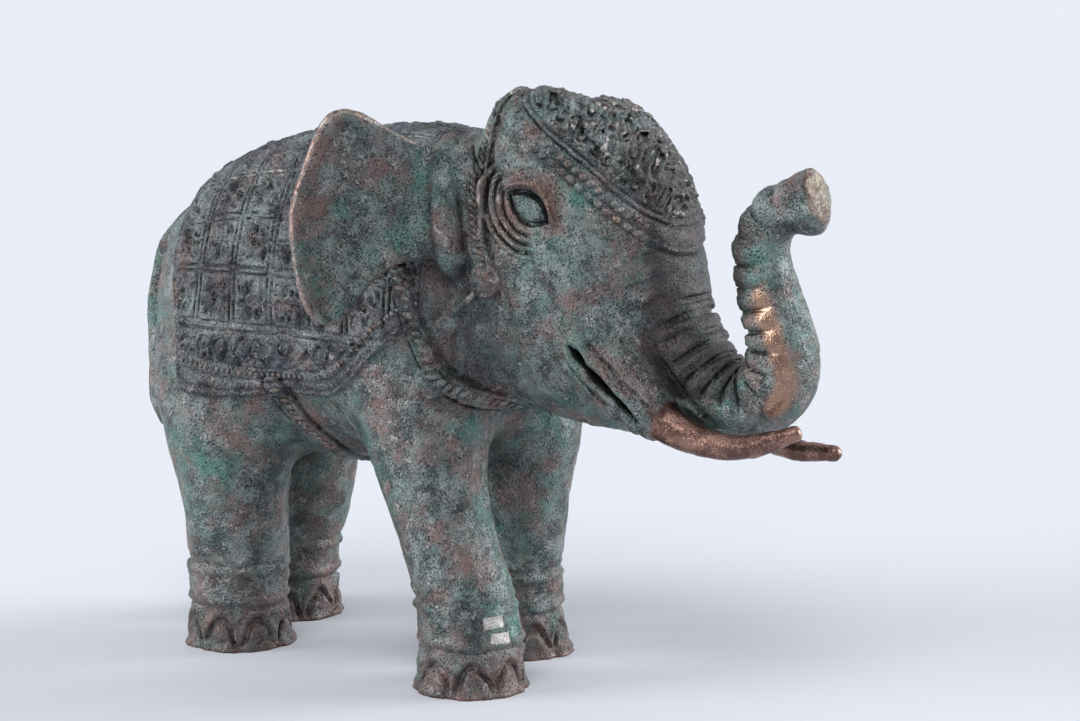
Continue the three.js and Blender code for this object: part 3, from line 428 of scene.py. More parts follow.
@dataclass(frozen=True)
class Cloth:
    """The cloth over the back. Its squares run down from the spine and back from the neck."""

    axis: Row = (0, 94)
    span: Row = (30, 43)
    turn_radius: float = 37.5
    drop: float = 81.0
    neck_rise: float = 19.0
    rear_rise: float = 3.0
    squares_to: float = 65.6
    front: float = -35.0
    back: float = 50.0
    lines_from: float = -25.5
    relief: float = 1.09
    square: float = 13.24
    column: float = 12.4
    line_gap: float = 1.5
    line_width: float = 1.1
    line_depth: float = 0.85
    bead_line: float = 5.2
    leaf_pitch: float = 9.6
    fringe_pitch: float = 3.4
    curl_pitch: float = 2.0
    curl_reach: float = 3.3
    curl_height: float = 0.45
    waver: float = 1.1
    on_spine: float = 0.5

    def place(self, p: Array) -> tuple[Array, Array, Array]:
        """Find where places lie on the cloth.

        Args:
            p: Places, one column each.

        Returns:
            The way down from the spine, the way in from the nearest edge, and the way up from the hem.
        """
        across = np.abs(p[0] - self.axis[0]) / self.span[0]
        down = self.turn_radius * np.arctan2(across, (p[2] - self.axis[1]) / self.span[1])
        hem = self.hem_at(p[1])
        back = self.back - 8 * smoothstep(46, self.drop, down)
        inside = np.minimum(np.minimum(hem - down, back - p[1]), p[1] - self.front)
        return down, inside, hem - down

    def hem_at(self, y: Array) -> Array:
        """How far down the cloth's lower edge lies; it rises towards the neck and a little to the rear."""
        return self.drop - self.neck_rise * smoothstep(2, -36, y) - self.rear_rise * smoothstep(10, 44, y)

    def height(self, p: Array) -> Array:
        """How far the cloth and its chasing stand proud of the hide."""
        down, inside, to_hem = self.place(p)
        out = np.zeros(p.shape[1], np.float32)
        on = np.flatnonzero(inside > -1)
        if not on.size:
            return out
        down, inside, to_hem, y = down[on], inside[on], to_hem[on], p[1][on]
        squares = smoothstep(0.6, -0.6, down - self.squares_to) * smoothstep(3.4, 4.6, inside)
        rows, columns = down / self.square, (y - self.lines_from) / self.column
        a = (rows - np.round(rows)) * self.square
        b = (columns - np.round(columns)) * self.column
        line = np.maximum(self._double(a), self._double(b)) * squares
        hem_line = self._double(down - self.squares_to) * smoothstep(1, 3, inside)
        edge = stroke(inside - 1.5, 1.2) * 0.6
        band = smoothstep(self.bead_line + 1.4, self.bead_line + 2.2, to_hem) * smoothstep(1.8, 2.8, inside)
        clear = 1 - np.maximum(self._near_line(a), self._near_line(b)) * squares
        clear *= self.on_spine + (1 - self.on_spine) * smoothstep(14, 32, down)
        motif = self._curls(p[:, on], rows, columns) * band * clear * (1 - stroke(down - self.squares_to, 4))
        leaves = self._leaves(to_hem, y) * smoothstep(1.5, 3, inside) * (1 - squares)
        chased = np.maximum(np.maximum(line, hem_line), edge) * self.line_depth
        out[on] = smoothstep(-0.7, 0.7, inside) * self.relief - chased + motif + leaves
        return out

    def _double(self, off: Array) -> Array:
        """Two grooves side by side, with a rib between them."""
        return stroke(np.abs(off) - self.line_gap / 2, self.line_width)

    def _near_line(self, off: Array) -> Array:
        """One along a line between squares, and nought in a square."""
        return smoothstep(2.4, 1.4, np.abs(off))

    def _curls(self, p: Array, rows: Array, columns: Array) -> Array:
        """Two curls and two bosses in every square, hand drawn, with pits where they meet."""
        row, column = np.floor(rows), np.floor(columns)
        hand = np.where((row + column) % 2 == 0, 1.0, -1.0).astype(np.float32)
        a = (rows - row - 0.5) * self.square + self.waver * GRAIN.at(p, 4.1)
        b = (columns - column - 0.5) * self.column + self.waver * GRAIN.at(p[::-1], 3.7)
        out = np.zeros_like(a)
        reach = 0.19 * self.square
        for end in (1, -1):
            ca, cb = a - end * reach, b - end * hand * reach
            near = smoothstep(self.curl_reach, self.curl_reach - 0.9, np.hypot(ca, cb))
            out += curl(ca, cb, self.curl_pitch, hand * end) * near * self.curl_height
            ba, bb = a + end * reach, b - end * hand * reach
            boss = np.hypot(ba, bb)
            out += 0.85 * smoothstep(1.7, 0.7, boss) - 0.65 * stroke(boss - 2.2, 1.1)
        return out - 0.9 * smoothstep(1.0, 0.3, np.hypot(a, b)) + 0.3 * GRAIN.at(p, 1.3)

    def _leaves(self, to_hem: Array, y: Array) -> Array:
        """Pointed leaves along the hem above the beads, and a lumpy fringe below them."""
        t = np.abs((y / self.leaf_pitch) % 1 - 0.5) * 2
        rib = 0.5 * stroke(to_hem - self.bead_line - 1.8 - t * 6.0, 1.7)
        fringe = 0.5 * np.cos(TURN * y / self.fringe_pitch) * stroke(to_hem - 1.9, 3.2)
        return rib + fringe - 0.5 * self._double_wide(to_hem - self.bead_line)

    def _double_wide(self, off: Array) -> Array:
        """The two grooves on either side of the beads."""
        return stroke(np.abs(off) - 1.35, 0.9)


@dataclass(frozen=True)
class Cap:
    """The cap on the head, above a plane that slopes from the crown to the brow, with a border."""

    tip: Row = (-90.8, 113.6)
    slope: float = 0.72
    back: float = -49.0
    relief: float = 0.89
    border: float = 2.0
    main_line: float = 1.7
    line: float = 1.0
    motif: float = 3.9
    curl_pitch: float = 1.45
    waver: float = 1.5

    def level(self, p: Array) -> Array:
        """How high places lie above the cap's plane."""
        rise, run = p[2] - self.tip[1], p[1] - self.tip[0]
        return rise * math.cos(self.slope) - run * math.sin(self.slope)

    def height(self, p: Array) -> Array:
        """How far the cap and its chasing stand proud of the head."""
        level = self.level(p)
        wing = 2.6 * smoothstep(-70, -60, p[1])
        edge = np.minimum(level + self.border + wing, self.back - p[1])
        out = smoothstep(-0.5, 0.5, edge) * self.relief - 0.5 * stroke(edge + 0.9, 1.3)
        on = np.flatnonzero(edge > -0.5)
        if not on.size:
            return out
        level, edge = level[on], edge[on]
        run = (p[1][on] - self.tip[0]) * math.cos(self.slope) + (p[2][on] - self.tip[1]) * math.sin(self.slope)
        up = level - self.main_line
        lines = stroke(up, self.line) + 0.8 * stroke(up - 1.2, self.line) + 0.6 * stroke(edge - 1.0, 0.9)
        above = smoothstep(1.8, 2.6, up) * smoothstep(0, 1.5, edge)
        out[on] += above * self._curls(level, run, p[:, on]) - 0.75 * lines
        return out

    def _curls(self, level: Array, run: Array, p: Array) -> Array:
        """Small curls and bosses over the whole cap, hand drawn, in staggered rows."""
        up = level + self.waver * GRAIN.at(p, 3.9)
        along = run + np.abs(p[0]) * 0.6 + self.waver * GRAIN.at(p[::-1], 3.3)
        rows = up / self.motif
        row = np.floor(rows)
        columns = along / self.motif + 0.5 * (row % 2)
        column = np.floor(columns)
        hand = np.where((row * 2 + column) % 3 == 0, 1.0, -1.0).astype(np.float32)
        a = (rows - row - 0.5) * self.motif
        b = (columns - column - 0.5) * self.motif
        reach = np.hypot(a, b)
        near = smoothstep(self.motif * 0.52, self.motif * 0.4, reach)
        corner = np.hypot(np.abs(a) - self.motif / 2, np.abs(b) - self.motif / 2)
        winding = curl(a, b, self.curl_pitch, hand) * near * 0.5
        boss = 0.6 * smoothstep(1.2, 0.5, corner) - 0.5 * smoothstep(0.9, 0.3, reach)
        return winding + boss + 0.3 * GRAIN.at(p, 1.2)


@dataclass(frozen=True)
class Eye:
    """An eye: an almond between two lids, under a thick brow, with folds behind and below."""

    centre: Row = (-62.4, 120.3)
    slant: float = 0.5
    half: Row = (5.6, 2.7)
    out_from: float = 17.0
    fold_half: float = 4.4
    fold_way: Row = (0.62, 0.78)
    fold_from: float = 1.62
    fold_pitch: float = 0.46

    def local(self, p: Array) -> tuple[Array, Array, Array]:
        """Find where places lie about the eye.

        Args:
            p: Places, one column each, folded onto one side.

        Returns:
            The way along the eye, the way up, and the way out from the almond's edge.
        """
        y, z = p[1] - self.centre[0], p[2] - self.centre[1]
        c, s = math.cos(self.slant), math.sin(self.slant)
        along, up = -y * c - z * s, z * c - y * s
        return along, up, np.abs(up) - self.half[1] * (1 - (along / self.half[0]) ** 2)

    def near(self, along: Array) -> Array:
        """One beside the eye and nought past its corners."""
        return 1 - smoothstep(self.half[0] + 1, self.half[0] + 4.5, np.abs(along))

    def height(self, p: Array) -> Array:
        """How far the ball, lids, brow and folds stand proud of the face."""
        out = np.zeros(p.shape[1], np.float32)
        face = (p[0] > self.out_from) & (np.abs(p[1] - self.centre[0]) < 15) & (np.abs(p[2] - self.centre[1]) < 15)
        on = np.flatnonzero(face)
        if not on.size:
            return out
        along, up, off = self.local(p[:, on])
        near = self.near(along)
        ball = 0.7 * smoothstep(0.2, -2, off) * near
        rim = stroke(off - 0.8, 2.3) * near
        lid = 0.35 * stroke(off - 1.7, 1.0) * near
        brow = np.where(up > 0, stroke(off - 3.2, 4.4) * near, 0)
        out[on] = ball - 1.6 * rim + lid + 2.0 * brow + self._folds(along, up)
        return out

    def _folds(self, along: Array, up: Array) -> Array:
        """The crescent folds that wrap round the rear corner of the eye and run on below it."""
        a, b = along / self.half[0], up / self.fold_half
        reach = np.hypot(a, b)
        turned = -(a * self.fold_way[0] + b * self.fold_way[1]) / np.maximum(reach, 0.1)
        sector = smoothstep(0.2, 0.55, turned) * smoothstep(1.1, 1.35, reach) * smoothstep(2.9, 2.5, reach)
        return 1.15 * np.cos(TURN * (reach - self.fold_from) / self.fold_pitch) * sector


@dataclass(frozen=True)
class Trunk:
    """The trunk, from the face down and up to its tip, through rows of y, z and two half sizes."""

    rows: Rows = (
        (-66, 112, 17, 18), (-75.5, 100, 14.5, 15.5), (-83.5, 90, 12.4, 13), (-91.6, 82, 10.8, 11),
        (-100, 76.5, 9.6, 9.6), (-108.6, 74.8, 9, 8.6), (-115.4, 78.8, 8.6, 8.8), (-117.4, 87, 7.9, 8.3),
        (-115.4, 95.5, 7.2, 7.5), (-112.6, 104, 6.6, 6.9), (-111.6, 112, 6, 6.4), (-114, 118.2, 5.8, 6.2),
        (-119.4, 121.8, 5.8, 6.2), (-128, 125, 6, 6.4))
    steps: int = 72
    squareness: Row = (4.2, 2.4)
    square_until: float = 52.0
    taper: float = 0.2
    ring_pitch: float = 5.14
    ring_depth: float = 0.85
    rings: Row = (12.0, 112.0)
    tip: Row = (-126.2, 124.4)
    tip_lean: float = 0.35
    lip: Field = Ellipsoid((0, -123.6, 118.4), (5.2, 3.4, 3.0), 0.5)
    ridge: Line = Line(((-112.6, 107.4), (-115.7, 97.9), (-119.7, 88.7), (-121.9, 80.9), (-119, 75)))

    @cached_property
    def samples(self) -> Array:
        """The rows, sampled along a smooth curve."""
        return smooth_rows(self.rows, self.steps).astype(np.float32)

    @cached_property
    def reach(self) -> Array:
        """How far along the trunk each sample lies."""
        steps = np.hypot(*np.diff(self.samples[:, :2], axis=0).T)
        return np.concatenate(([0], np.cumsum(steps))).astype(np.float32)

    def shape(self, p: Array) -> Array:
        """Give the distances of places from the trunk."""
        y, z, wide, thick = self.samples.T
        half = np.maximum(wide, thick)
        low = (-wide.max(), (y - half).min(), (z - half).min())
        high = (wide.max(), (y + half).max(), (z + half).max())
        return near_only(p, low, high, self._near)

    def _near(self, p: Array) -> Array:
        """Give the distances of places that lie near the trunk."""
        samples = self.samples
        best = np.full(p.shape[1], FAR, np.float32)
        at = np.zeros((5, p.shape[1]), np.float32)
        for n, (a, b) in enumerate(zip(samples, samples[1:])):
            way = b[:2] - a[:2]
            y, z = p[1] - a[0], p[2] - a[1]
            t = np.clip((y * way[0] + z * way[1]) / (way @ way), 0, 1)
            half = a[3] + t * (b[3] - a[3])
            off = np.hypot(y - t * way[0], z - t * way[1])
            closer = np.flatnonzero(off - half < best)
            best[closer] = (off - half)[closer]
            length = float(np.hypot(*way))
            side = (way[0] * z - way[1] * y) / (length * half)
            wide = a[2] + t * (b[2] - a[2])
            for row, value in enumerate((off, half, wide, self.reach[n] + t * length, side)):
                at[row, closer] = value[closer]
        off, half, wide, along, side = at
        round_off = smoothstep(self.square_until - 25, self.square_until, along)
        power = self.squareness[0] + (self.squareness[1] - self.squareness[0]) * round_off
        wide = wide * (1 - self.taper * (1 - round_off) * np.clip(-side, 0, 1))
        total = (np.abs(p[0]) / wide) ** power + (off / half) ** power
        d = (total ** (1 / power) - 1) * np.minimum(wide, half)
        d = blend(d + self._rings(along, side, p[0] / wide), self.lip(p), 2)
        tip = smoothstep(112, 118, p[2]) * smoothstep(-115, -120, p[1])
        return overlap(d, self.end(p), 1.8) - 0.55 * tip * GRAIN.at(p, 3.1)

    def _rings(self, along: Array, side: Array, across: Array) -> Array:
        """The grooves across the inner side, which fan out in the bend."""
        bow = along + 1.2 * across**2
        off = bow - self.ring_pitch * np.round(bow / self.ring_pitch)
        root = smoothstep(self.square_until, self.square_until - 20, along)
        inner = smoothstep(0.55 - 0.7 * root, -0.2 - 0.5 * root, side)
        here = smoothstep(self.rings[0] - 8, self.rings[0] + 4, along)
        here *= smoothstep(self.rings[1] + 4, self.rings[1] - 2, along)
        swell = 0.3 * np.cos(TURN * bow / self.ring_pitch)
        return (stroke(off, 1.5) + swell - 0.25) * self.ring_depth * inner * here

    def end(self, p: Array) -> Array:
        """The slanting plane that cuts the tip off."""
        y, z = self.tip[0] - p[1], p[2] - self.tip[1]
        return y * math.cos(self.tip_lean) + z * math.sin(self.tip_lean)


@dataclass(frozen=True)
class Head:
    """Skull, domes, cheeks, jaw, neck, trunk and mouth, with the cap and the eyes."""

    skull: Field = Ellipsoid((0, -62, 115), (25, 28, 28))
    right_dome: Field = Ellipsoid((-12, -58, 131.6), (13, 15, 15.5))
    left_dome: Field = Ellipsoid((11, -62, 128.7), (12.3, 14.6, 14.8))
    cheeks: Field = Ellipsoid((0, -62, 96), (24, 26, 27), 0.35)
    neck: Field = Ellipsoid((0, -42, 106), (23, 22, 30))
    jaw: Field = Rod(((0, -54, 86, 15), (0, -70, 76, 10.5), (0, -84, 68, 4)), 10)
    sheath: Field = Rod(((13, -72, 90, 10.4), (13.6, -80.5, 80.4, 9), (14, -89, 73.6, 6.9)), 8)
    mouth_line: Line = Line(((-71.5, 89.4), (-76, 84.6), (-80.3, 80.5), (-84.6, 76.5), (-88.7, 72.5), (-93, 67)), 12)
    mouth_half: float = 1.0
    sheath_groove: Line = Line(((-88.4, 87.5), (-91.5, 83), (-95.3, 78.4), (-98.7, 74.2), (-103, 70.4)), 12)
    mouth_bottom: float = 13.0
    sheath_crease: Field = Rod(
        ((23.5, -83.4, 77, 0.5), (23, -85, 80, 0.9), (21.6, -86.4, 82.6, 0.9), (19, -88, 84.6, 0.5)), 8)
    cap: Cap = Cap()
    eye: Eye = Eye()
    trunk: Trunk = Trunk()

    def shape(self, p: Array, side: Array) -> Array:
        """Give the distances of places from the head.

        Args:
            p: Places, one column each.
            side: The same places, folded onto one side.

        Returns:
            Distances to the head without the tusks, the ears and the straps.
        """
        d = blend(self.skull(p), blend(self.right_dome(p), self.left_dome(p), 4), 6)
        d = blend(d, self.cheeks(p), 12) - self.cap.height(p) - self.eye.height(side)
        d = blend(d, self.jaw(p), 8)
        d = blend(d, self.trunk.shape(p), 8)
        d = blend(d, self.sheath(side), 3)
        d = self._groove_sheath(d, side)
        d = self._open_mouth(d, side)
        d = carve(d, self.sheath_crease(side), 0.6)
        return blend(d, self.neck(p), 10)

    def _groove_sheath(self, d: Array, side: Array) -> Array:
        """Deepen the line between the trunk and the sheath of the tusk."""
        near = np.flatnonzero((side[0] > 6) & (side[1] < -84) & (side[1] > -108) & (side[2] < 92) & (np.abs(d) < 6))
        if near.size:
            off, along = self.sheath_groove.nearest(side[:, near])
            d[near] += 1.5 * stroke(off, 2.6) * smoothstep(0, 5, along) * smoothstep(6, 8, side[0, near])
        return d

    def _open_mouth(self, d: Array, side: Array) -> Array:
        """Cut the mouth's slot in from the side, between the lip and the jaw.

        Args:
            d: Distances to the closed head.
            side: The places, folded onto one side.

        Returns:
            Distances to the head with its mouth open.
        """
        near = np.flatnonzero((side[0] > self.mouth_bottom - 3) & (side[1] < -66) & (side[2] < 96) & (np.abs(d) < 6))
        if near.size:
            off, along = self.mouth_line.nearest(side[:, near])
            off = off + 0.45 * GRAIN.at(side[:, near], 2.6)
            half = self.mouth_half * (smoothstep(-1, 5, along) - 0.75 * smoothstep(9, 19, along))
            slot = np.maximum(off - half, self.mouth_bottom - side[0, near])
            lips = (1.0 * stroke(off - half - 1.4, 2.4) - 0.9 * stroke(off - 3.9, 1.6)) * smoothstep(0, 5, along)
            d[near] = carve(d[near] - lips, slot, 0.7)
        return d


@dataclass(frozen=True)
class Tusks:
    """The two tusks, which part and rise a little."""

    right: Rod = Rod(
        ((-13.4, -84, 77.5, 4.54), (-14.2, -94, 70.6, 4.36), (-14.6, -104, 67, 3.64), (-14.4, -115, 66.6, 2.82),
         (-12.6, -127, 70.6, 1.88)), 24)
    left: Rod = Rod(
        ((13.4, -84, 77.5, 4.54), (14.4, -94, 70, 4.36), (15, -103, 65, 3.64), (15.2, -113, 61.4, 2.82),
         (14, -124, 61.8, 1.88)), 24)

    def shape(self, p: Array) -> Array:
        """Give the distances of places from the nearer tusk."""
        return np.minimum(self.right(p), self.left(p))


@dataclass(frozen=True)
class Ear:
    """A dished plate that stands away from the head, with a rolled rim and a fold at its root."""

    root: Row = (25, -40, 118)
    sweep: float = math.pi / 4
    dish: float = 5.0
    thickness: float = 2.96
    rim: float = 1.6
    outline_rows: Rows = (
        (-4, 16), (5, 15.4), (12, 18), (19, 22), (25.4, 24.4), (30.4, 21.6), (34.4, 12), (37.6, 3), (38, -6),
        (36.8, -15), (34.6, -22), (30.4, -25), (25, -22.4), (20, -16.4), (13, -11.6), (5, -9.4), (-4, -10))
    fold: Field = Rod(
        ((24.6, -40, 135, 2.2), (27.6, -40.4, 127, 3), (29, -41.4, 118, 3.4), (28.8, -42.4, 109, 3.4),
         (27.6, -42.6, 105.6, 2.8)), 12)

    @cached_property
    def outline(self) -> Array:
        """The outline, sampled along a smooth curve."""
        return smooth_rows(self.outline_rows, 48).astype(np.float32)

    def local(self, p: Array) -> tuple[Array, Array, Array]:
        """Find where places lie on the ear's plate.

        Args:
            p: Places, one column each, folded onto one side.

        Returns:
            The way out from the head, the way up, and the way forward of the plate's middle.
        """
        x, y = p[0] - self.root[0], p[1] - self.root[1]
        c, s = math.cos(self.sweep), math.sin(self.sweep)
        u, front, w = x * c + y * s, x * s - y * c, p[2] - self.root[2]
        return u, w, front - self.dish * (((u - 18) / 20) ** 2 + (w / 26) ** 2 - 0.6)

    def edge(self, u: Array, w: Array) -> Array:
        """Give the distance from the outline, negative inside."""
        nearest = np.full(u.shape, FAR, np.float32)
        inside = np.zeros(u.shape, bool)
        for a, b in zip(self.outline, np.roll(self.outline, -1, axis=0)):
            bu, bw = b - a
            au, aw = u - a[0], w - a[1]
            t = np.clip((au * bu + aw * bw) / (bu * bu + bw * bw), 0, 1)
            np.minimum(nearest, np.hypot(au - t * bu, aw - t * bw), out=nearest)
            if bw:
                inside ^= ((a[1] > w) != (b[1] > w)) & (au < aw * bu / bw)
        return np.where(inside, -nearest, nearest)

    def shape(self, p: Array) -> Array:
        """Give the distances of places, folded onto one side, from the ear."""
        x, y = p[0] - self.root[0], p[1] - self.root[1]
        c, s = math.cos(self.sweep), math.sin(self.sweep)
        away = np.maximum(np.abs(x * s - y * c) - 12, np.abs(x * c + y * s - 17) - 25)
        away = np.maximum(away, np.abs(p[2] - self.root[2]) - 30)
        near = np.flatnonzero(away < 6)
        if near.size:
            away[near] = self._near(p[:, near])
        return away

    def _near(self, p: Array) -> Array:
        """Give the distances of places that lie near the ear."""
        u, w, off = self.local(p)
        edge = self.edge(u, w)
        plate = overlap(np.abs(off) - self.thickness / 2, edge, 2)
        rim = np.hypot(off - 0.4, edge + 1) - self.rim
        return blend(blend(plate, rim, 2.5), self.fold(p), 2)


@dataclass(frozen=True)
class Harness:
    """The straps that lie on the casting, the medallion on the cheek and the knot on the breast."""

    head_strap: Line = Line(
        ((-51, 150), (-49.4, 143), (-49.2, 136), (-47.4, 127), (-47.2, 119), (-49, 110), (-51.4, 105)))
    breast_strap: Line = Line(((-28, 104), (-32.4, 92), (-38, 79), (-48, 70.6), (-56, 65)))
    girth: Line = Line(((13, 72), (10.4, 65), (6.8, 57.6), (4, 52.4), (3, 44)))
    strap_width: float = 4.54
    girth_width: float = 4.94
    relief: float = 1.09
    medallion: Row = (25.2, -51.6, 102.6)
    medallion_radius: float = 4.54
    knot: Row = (27.4, -36.6, 76.8)
    knot_radius: float = 4.2
    strand_front: Field = Rod(((25.6, -55, 104, 0.7), (25.6, -56.4, 99, 1.0), (25.2, -57, 94.6, 1.1)), 6)
    strand_back: Field = Rod(((25.8, -49, 100, 0.7), (26.2, -45.6, 97.4, 0.9), (26.6, -42, 94, 0.9)), 6)

    def strap(self, line: Line, width: float, p: Array) -> Array:
        """How far a strap stands proud, with a rolled edge on either side.

        Args:
            line: The strap's middle line.
            width: The strap's width.
            p: Places, one column each.

        Returns:
            Heights, nought off the strap.
        """
        off, _ = line.nearest(p)
        flat = 1 - smoothstep(width / 2 - 0.4, width / 2 + 0.1, off)
        beside = stroke(off - width / 2 - 0.5, 1.0)
        return self.relief * flat - 0.35 * smoothstep(width / 2 - 0.8, width / 2 - 1.4, off) - 0.6 * beside

    def ornaments(self, side: Array) -> Array:
        """Give the distances of places, folded onto one side, from the medallion and its strands."""
        disc = self._rosette(side, self.medallion, self.medallion_radius)
        knot = self._rosette(side, self.knot, self.knot_radius)
        return np.minimum(np.minimum(disc, knot), np.minimum(self.strand_front(side), self.strand_back(side)))

    def _rosette(self, side: Array, centre: Row, radius: float) -> Array:
        """Give the distances of places from a cast rosette with a rim, six petals and a boss."""
        reach = np.hypot(side[1] - centre[1], side[2] - centre[2])
        turn = np.arctan2(side[2] - centre[2], side[1] - centre[1])
        petals = 0.5 * np.cos(6 * turn) * stroke(reach - 0.55 * radius, 2.4)
        face = 0.6 * stroke(reach - 0.86 * radius, 1.2) + 0.7 * smoothstep(1.5, 0.6, reach) + petals
        return Ellipsoid(centre, (3.3, radius, radius))(side) - face


@dataclass(frozen=True)
class Casting:
    """The whole casting as one field, with the hand-worked unevenness of its skin."""

    torso: Torso = Torso()
    cloth: Cloth = Cloth()
    head: Head = Head()
    tusks: Tusks = Tusks()
    ear: Ear = Ear()
    harness: Harness = Harness()
    tail: Field = Rod(
        ((-5, 56.5, 113, 1.85), (-8.2, 63.6, 105, 1.68), (-11.2, 65.4, 95.5, 1.68), (-13.8, 64.6, 86.5, 1.68),
         (-15.8, 62.8, 77, 1.68), (-17.3, 61, 69.5, 2.18), (-18.6, 58.6, 63.5, 2.96), (-19, 56.6, 58.5, 2.37)), 24)

    def body(self, p: Array) -> Array:
        """Give the distances of places from the torso and the legs, under the cloth."""
        d = self.torso.shape(p)
        for leg in LEGS.values():
            d = blend(d, leg.shape(p), 8)
        return d

    def dressed_body(self, p: Array) -> Array:
        """Give the distances of places from the body with its cloth."""
        return self.body(p) - self.cloth.height(p)

    def whole(self, p: Array) -> Array:
        """Give the distances of places from the casting, without the unevenness of its skin."""
        side = mirrored(p)
        harness = self.harness
        torso = blend(self.dressed_body(p), self.tail(p), 1.5)
        torso -= harness.strap(harness.girth, harness.girth_width, p)
        torso -= harness.strap(harness.breast_strap, harness.strap_width, p)
        head = self.head.shape(p, side) - harness.strap(harness.head_strap, harness.strap_width, p)
        d = blend(torso, head, 8)
        d = blend(d, self.tusks.shape(p), 1.5)
        d = blend(d, harness.ornaments(side), 0.8)
        return blend(d, self.ear.shape(side), 4)

    def __call__(self, p: Array) -> Array:
        """Give the distances of places from the finished casting, cut flat at the floor."""
        d = self.whole(p)
        near = np.flatnonzero(np.abs(d) < 3)
        if near.size:
            q = p[:, near]
            d[near] += 0.24 * GRAIN.at(q, 8.5) + 0.17 * GRAIN.at(q, 2.9) + 0.13 * GRAIN.at(q, 1.4)
        return np.maximum(d, -p[2])


def contour(shape: Field, low: Row, high: Row, cell: float, levels: int = 3) -> tuple[Array, Array]:
    """Find the surface where a field is zero, with one vertex in each cell that it crosses.

    Args:
        shape: The field.
        low: Lowest corner of the space to search.
        high: Highest corner of the space to search.
        cell: The side of a cell.
        levels: How many times the blocks that are searched first are halved.

    Returns:
        The vertices, one row each, and the four-sided faces between them.
    """
    size = cell * 2**levels
    start = np.asarray(low, np.float32)
    count = np.ceil((np.asarray(high) - start) / size).astype(int)

    def sample(index: Sequence[Array], width: float) -> Array:
        """Give the field at the middles of blocks."""
        return shape(np.stack([start[n] + (index[n].astype(np.float32) + 0.5) * width for n in range(3)]))

    values = sample([axis.ravel() for axis in np.indices(count)], size).reshape(count)
    for _ in range(levels):
        near = np.abs(values) < 1.15 * size
        for axis in range(3):
            values = values.repeat(2, axis)
            near = near.repeat(2, axis)
        size /= 2
        index = np.nonzero(near)
        values[index] = sample(index, size)
    inside = values < 0
    corners = [(i, j, k) for i in (0, 1) for j in (0, 1) for k in (0, 1)]
    room = np.array(inside.shape) - 1
    total = np.zeros(room, np.uint8)
    for i, j, k in corners:
        total += inside[i:i + room[0], j:j + room[1], k:k + room[2]]
    mixed = np.nonzero((total > 0) & (total < 8))
    number = np.full(room, -1, np.int32)
    number[mixed] = np.arange(len(mixed[0]))
    places = np.zeros((3, len(mixed[0])), np.float32)
    crossings = np.zeros(len(mixed[0]), np.float32)
    for corner in corners:
        for axis in range(3):
            if corner[axis]:
                continue
            beyond = [c + (n == axis) for n, c in enumerate(corner)]
            a = values[tuple(mixed[n] + corner[n] for n in range(3))]
            b = values[tuple(mixed[n] + beyond[n] for n in range(3))]
            cut = (a < 0) != (b < 0)
            t = np.where(cut, a / np.where(cut, a - b, 1), 0)
            for n in range(3):
                places[n] += cut * corner[n] + (t if n == axis else 0)
            crossings += cut
    vertices = np.stack([start[n] + (mixed[n] + places[n] / crossings + 0.5) * size for n in range(3)])
    faces = []
    for axis in range(3):
        one, two = (axis + 1) % 3, (axis + 2) % 3
        here = [slice(1, -1)] * 3
        there = list(here)
        there[axis] = slice(2, None)
        cut = np.nonzero(inside[tuple(here)] != inside[tuple(there)])
        at = np.stack([c + 1 for c in cut])
        outwards = inside[tuple(at)]
        ring = []
        for back_one, back_two in ((1, 1), (0, 1), (0, 0), (1, 0)):
            cell_at = at.copy()
            cell_at[one] -= back_one
            cell_at[two] -= back_two
            ring.append(number[tuple(cell_at)])
        quads = np.stack(ring, 1)
        faces.append(np.where(outwards[:, None], quads, quads[:, ::-1]))
    return vertices.T, np.concatenate(faces)


def new_mesh(name: str, vertices: Array, faces: Array) -> bpy.types.Mesh:
    """Make a mesh from arrays.

    Args:
        name: The mesh's name.
        vertices: One row of three coordinates for each vertex.
        faces: One row of vertex numbers for each face.

    Returns:
        The mesh, shaded smooth.
    """
    mesh = bpy.data.meshes.new(name)
    sides = faces.shape[1]
    mesh.vertices.add(len(vertices))
    mesh.vertices.foreach_set("co", np.ascontiguousarray(vertices, np.float32).ravel())
    mesh.loops.add(faces.size)
    mesh.loops.foreach_set("vertex_index", np.ascontiguousarray(faces, np.int32).ravel())
    mesh.polygons.add(len(faces))
    mesh.polygons.foreach_set("loop_start", np.arange(0, faces.size, sides, dtype=np.int32))
    mesh.update(calc_edges=True)
    mesh.shade_smooth()
    return mesh


def coordinates(mesh: bpy.types.Mesh) -> Array:
    """Give a mesh's vertices, one column each."""
    out = np.empty(len(mesh.vertices) * 3, np.float32)
    mesh.vertices.foreach_get("co", out)
    return out.reshape(-1, 3).T.copy()


def vertex_normals(mesh: bpy.types.Mesh) -> Array:
    """Give a mesh's vertex normals, one column each."""
    out = np.empty(len(mesh.vertices) * 3, np.float32)
    mesh.vertex_normals.foreach_get("vector", out)
    return out.reshape(-1, 3).T.copy()


def baked(holder: bpy.types.Object, name: str) -> bpy.types.Object:
    """Turn an object's evaluated form into a plain mesh object, and remove the first one.

    Args:
        holder: The object with its modifiers.
        name: The new object's name.

    Returns:
        The new object, linked to the scene.
    """
    graph = bpy.context.evaluated_depsgraph_get()
    mesh = bpy.data.meshes.new_from_object(holder.evaluated_get(graph), depsgraph=graph)
    bpy.data.objects.remove(holder)
    mesh.name = name
    piece = bpy.data.objects.new(name, mesh)
    bpy.context.scene.collection.objects.link(piece)
    return piece


def add_values(mesh: bpy.types.Mesh, values: dict[str, Array]) -> None:
    """Store one number for each vertex under each name."""
    for name, numbers in values.items():
        attribute = mesh.attributes.new(name, "FLOAT", "POINT")
        attribute.data.foreach_set("value", np.ascontiguousarray(numbers, np.float32))


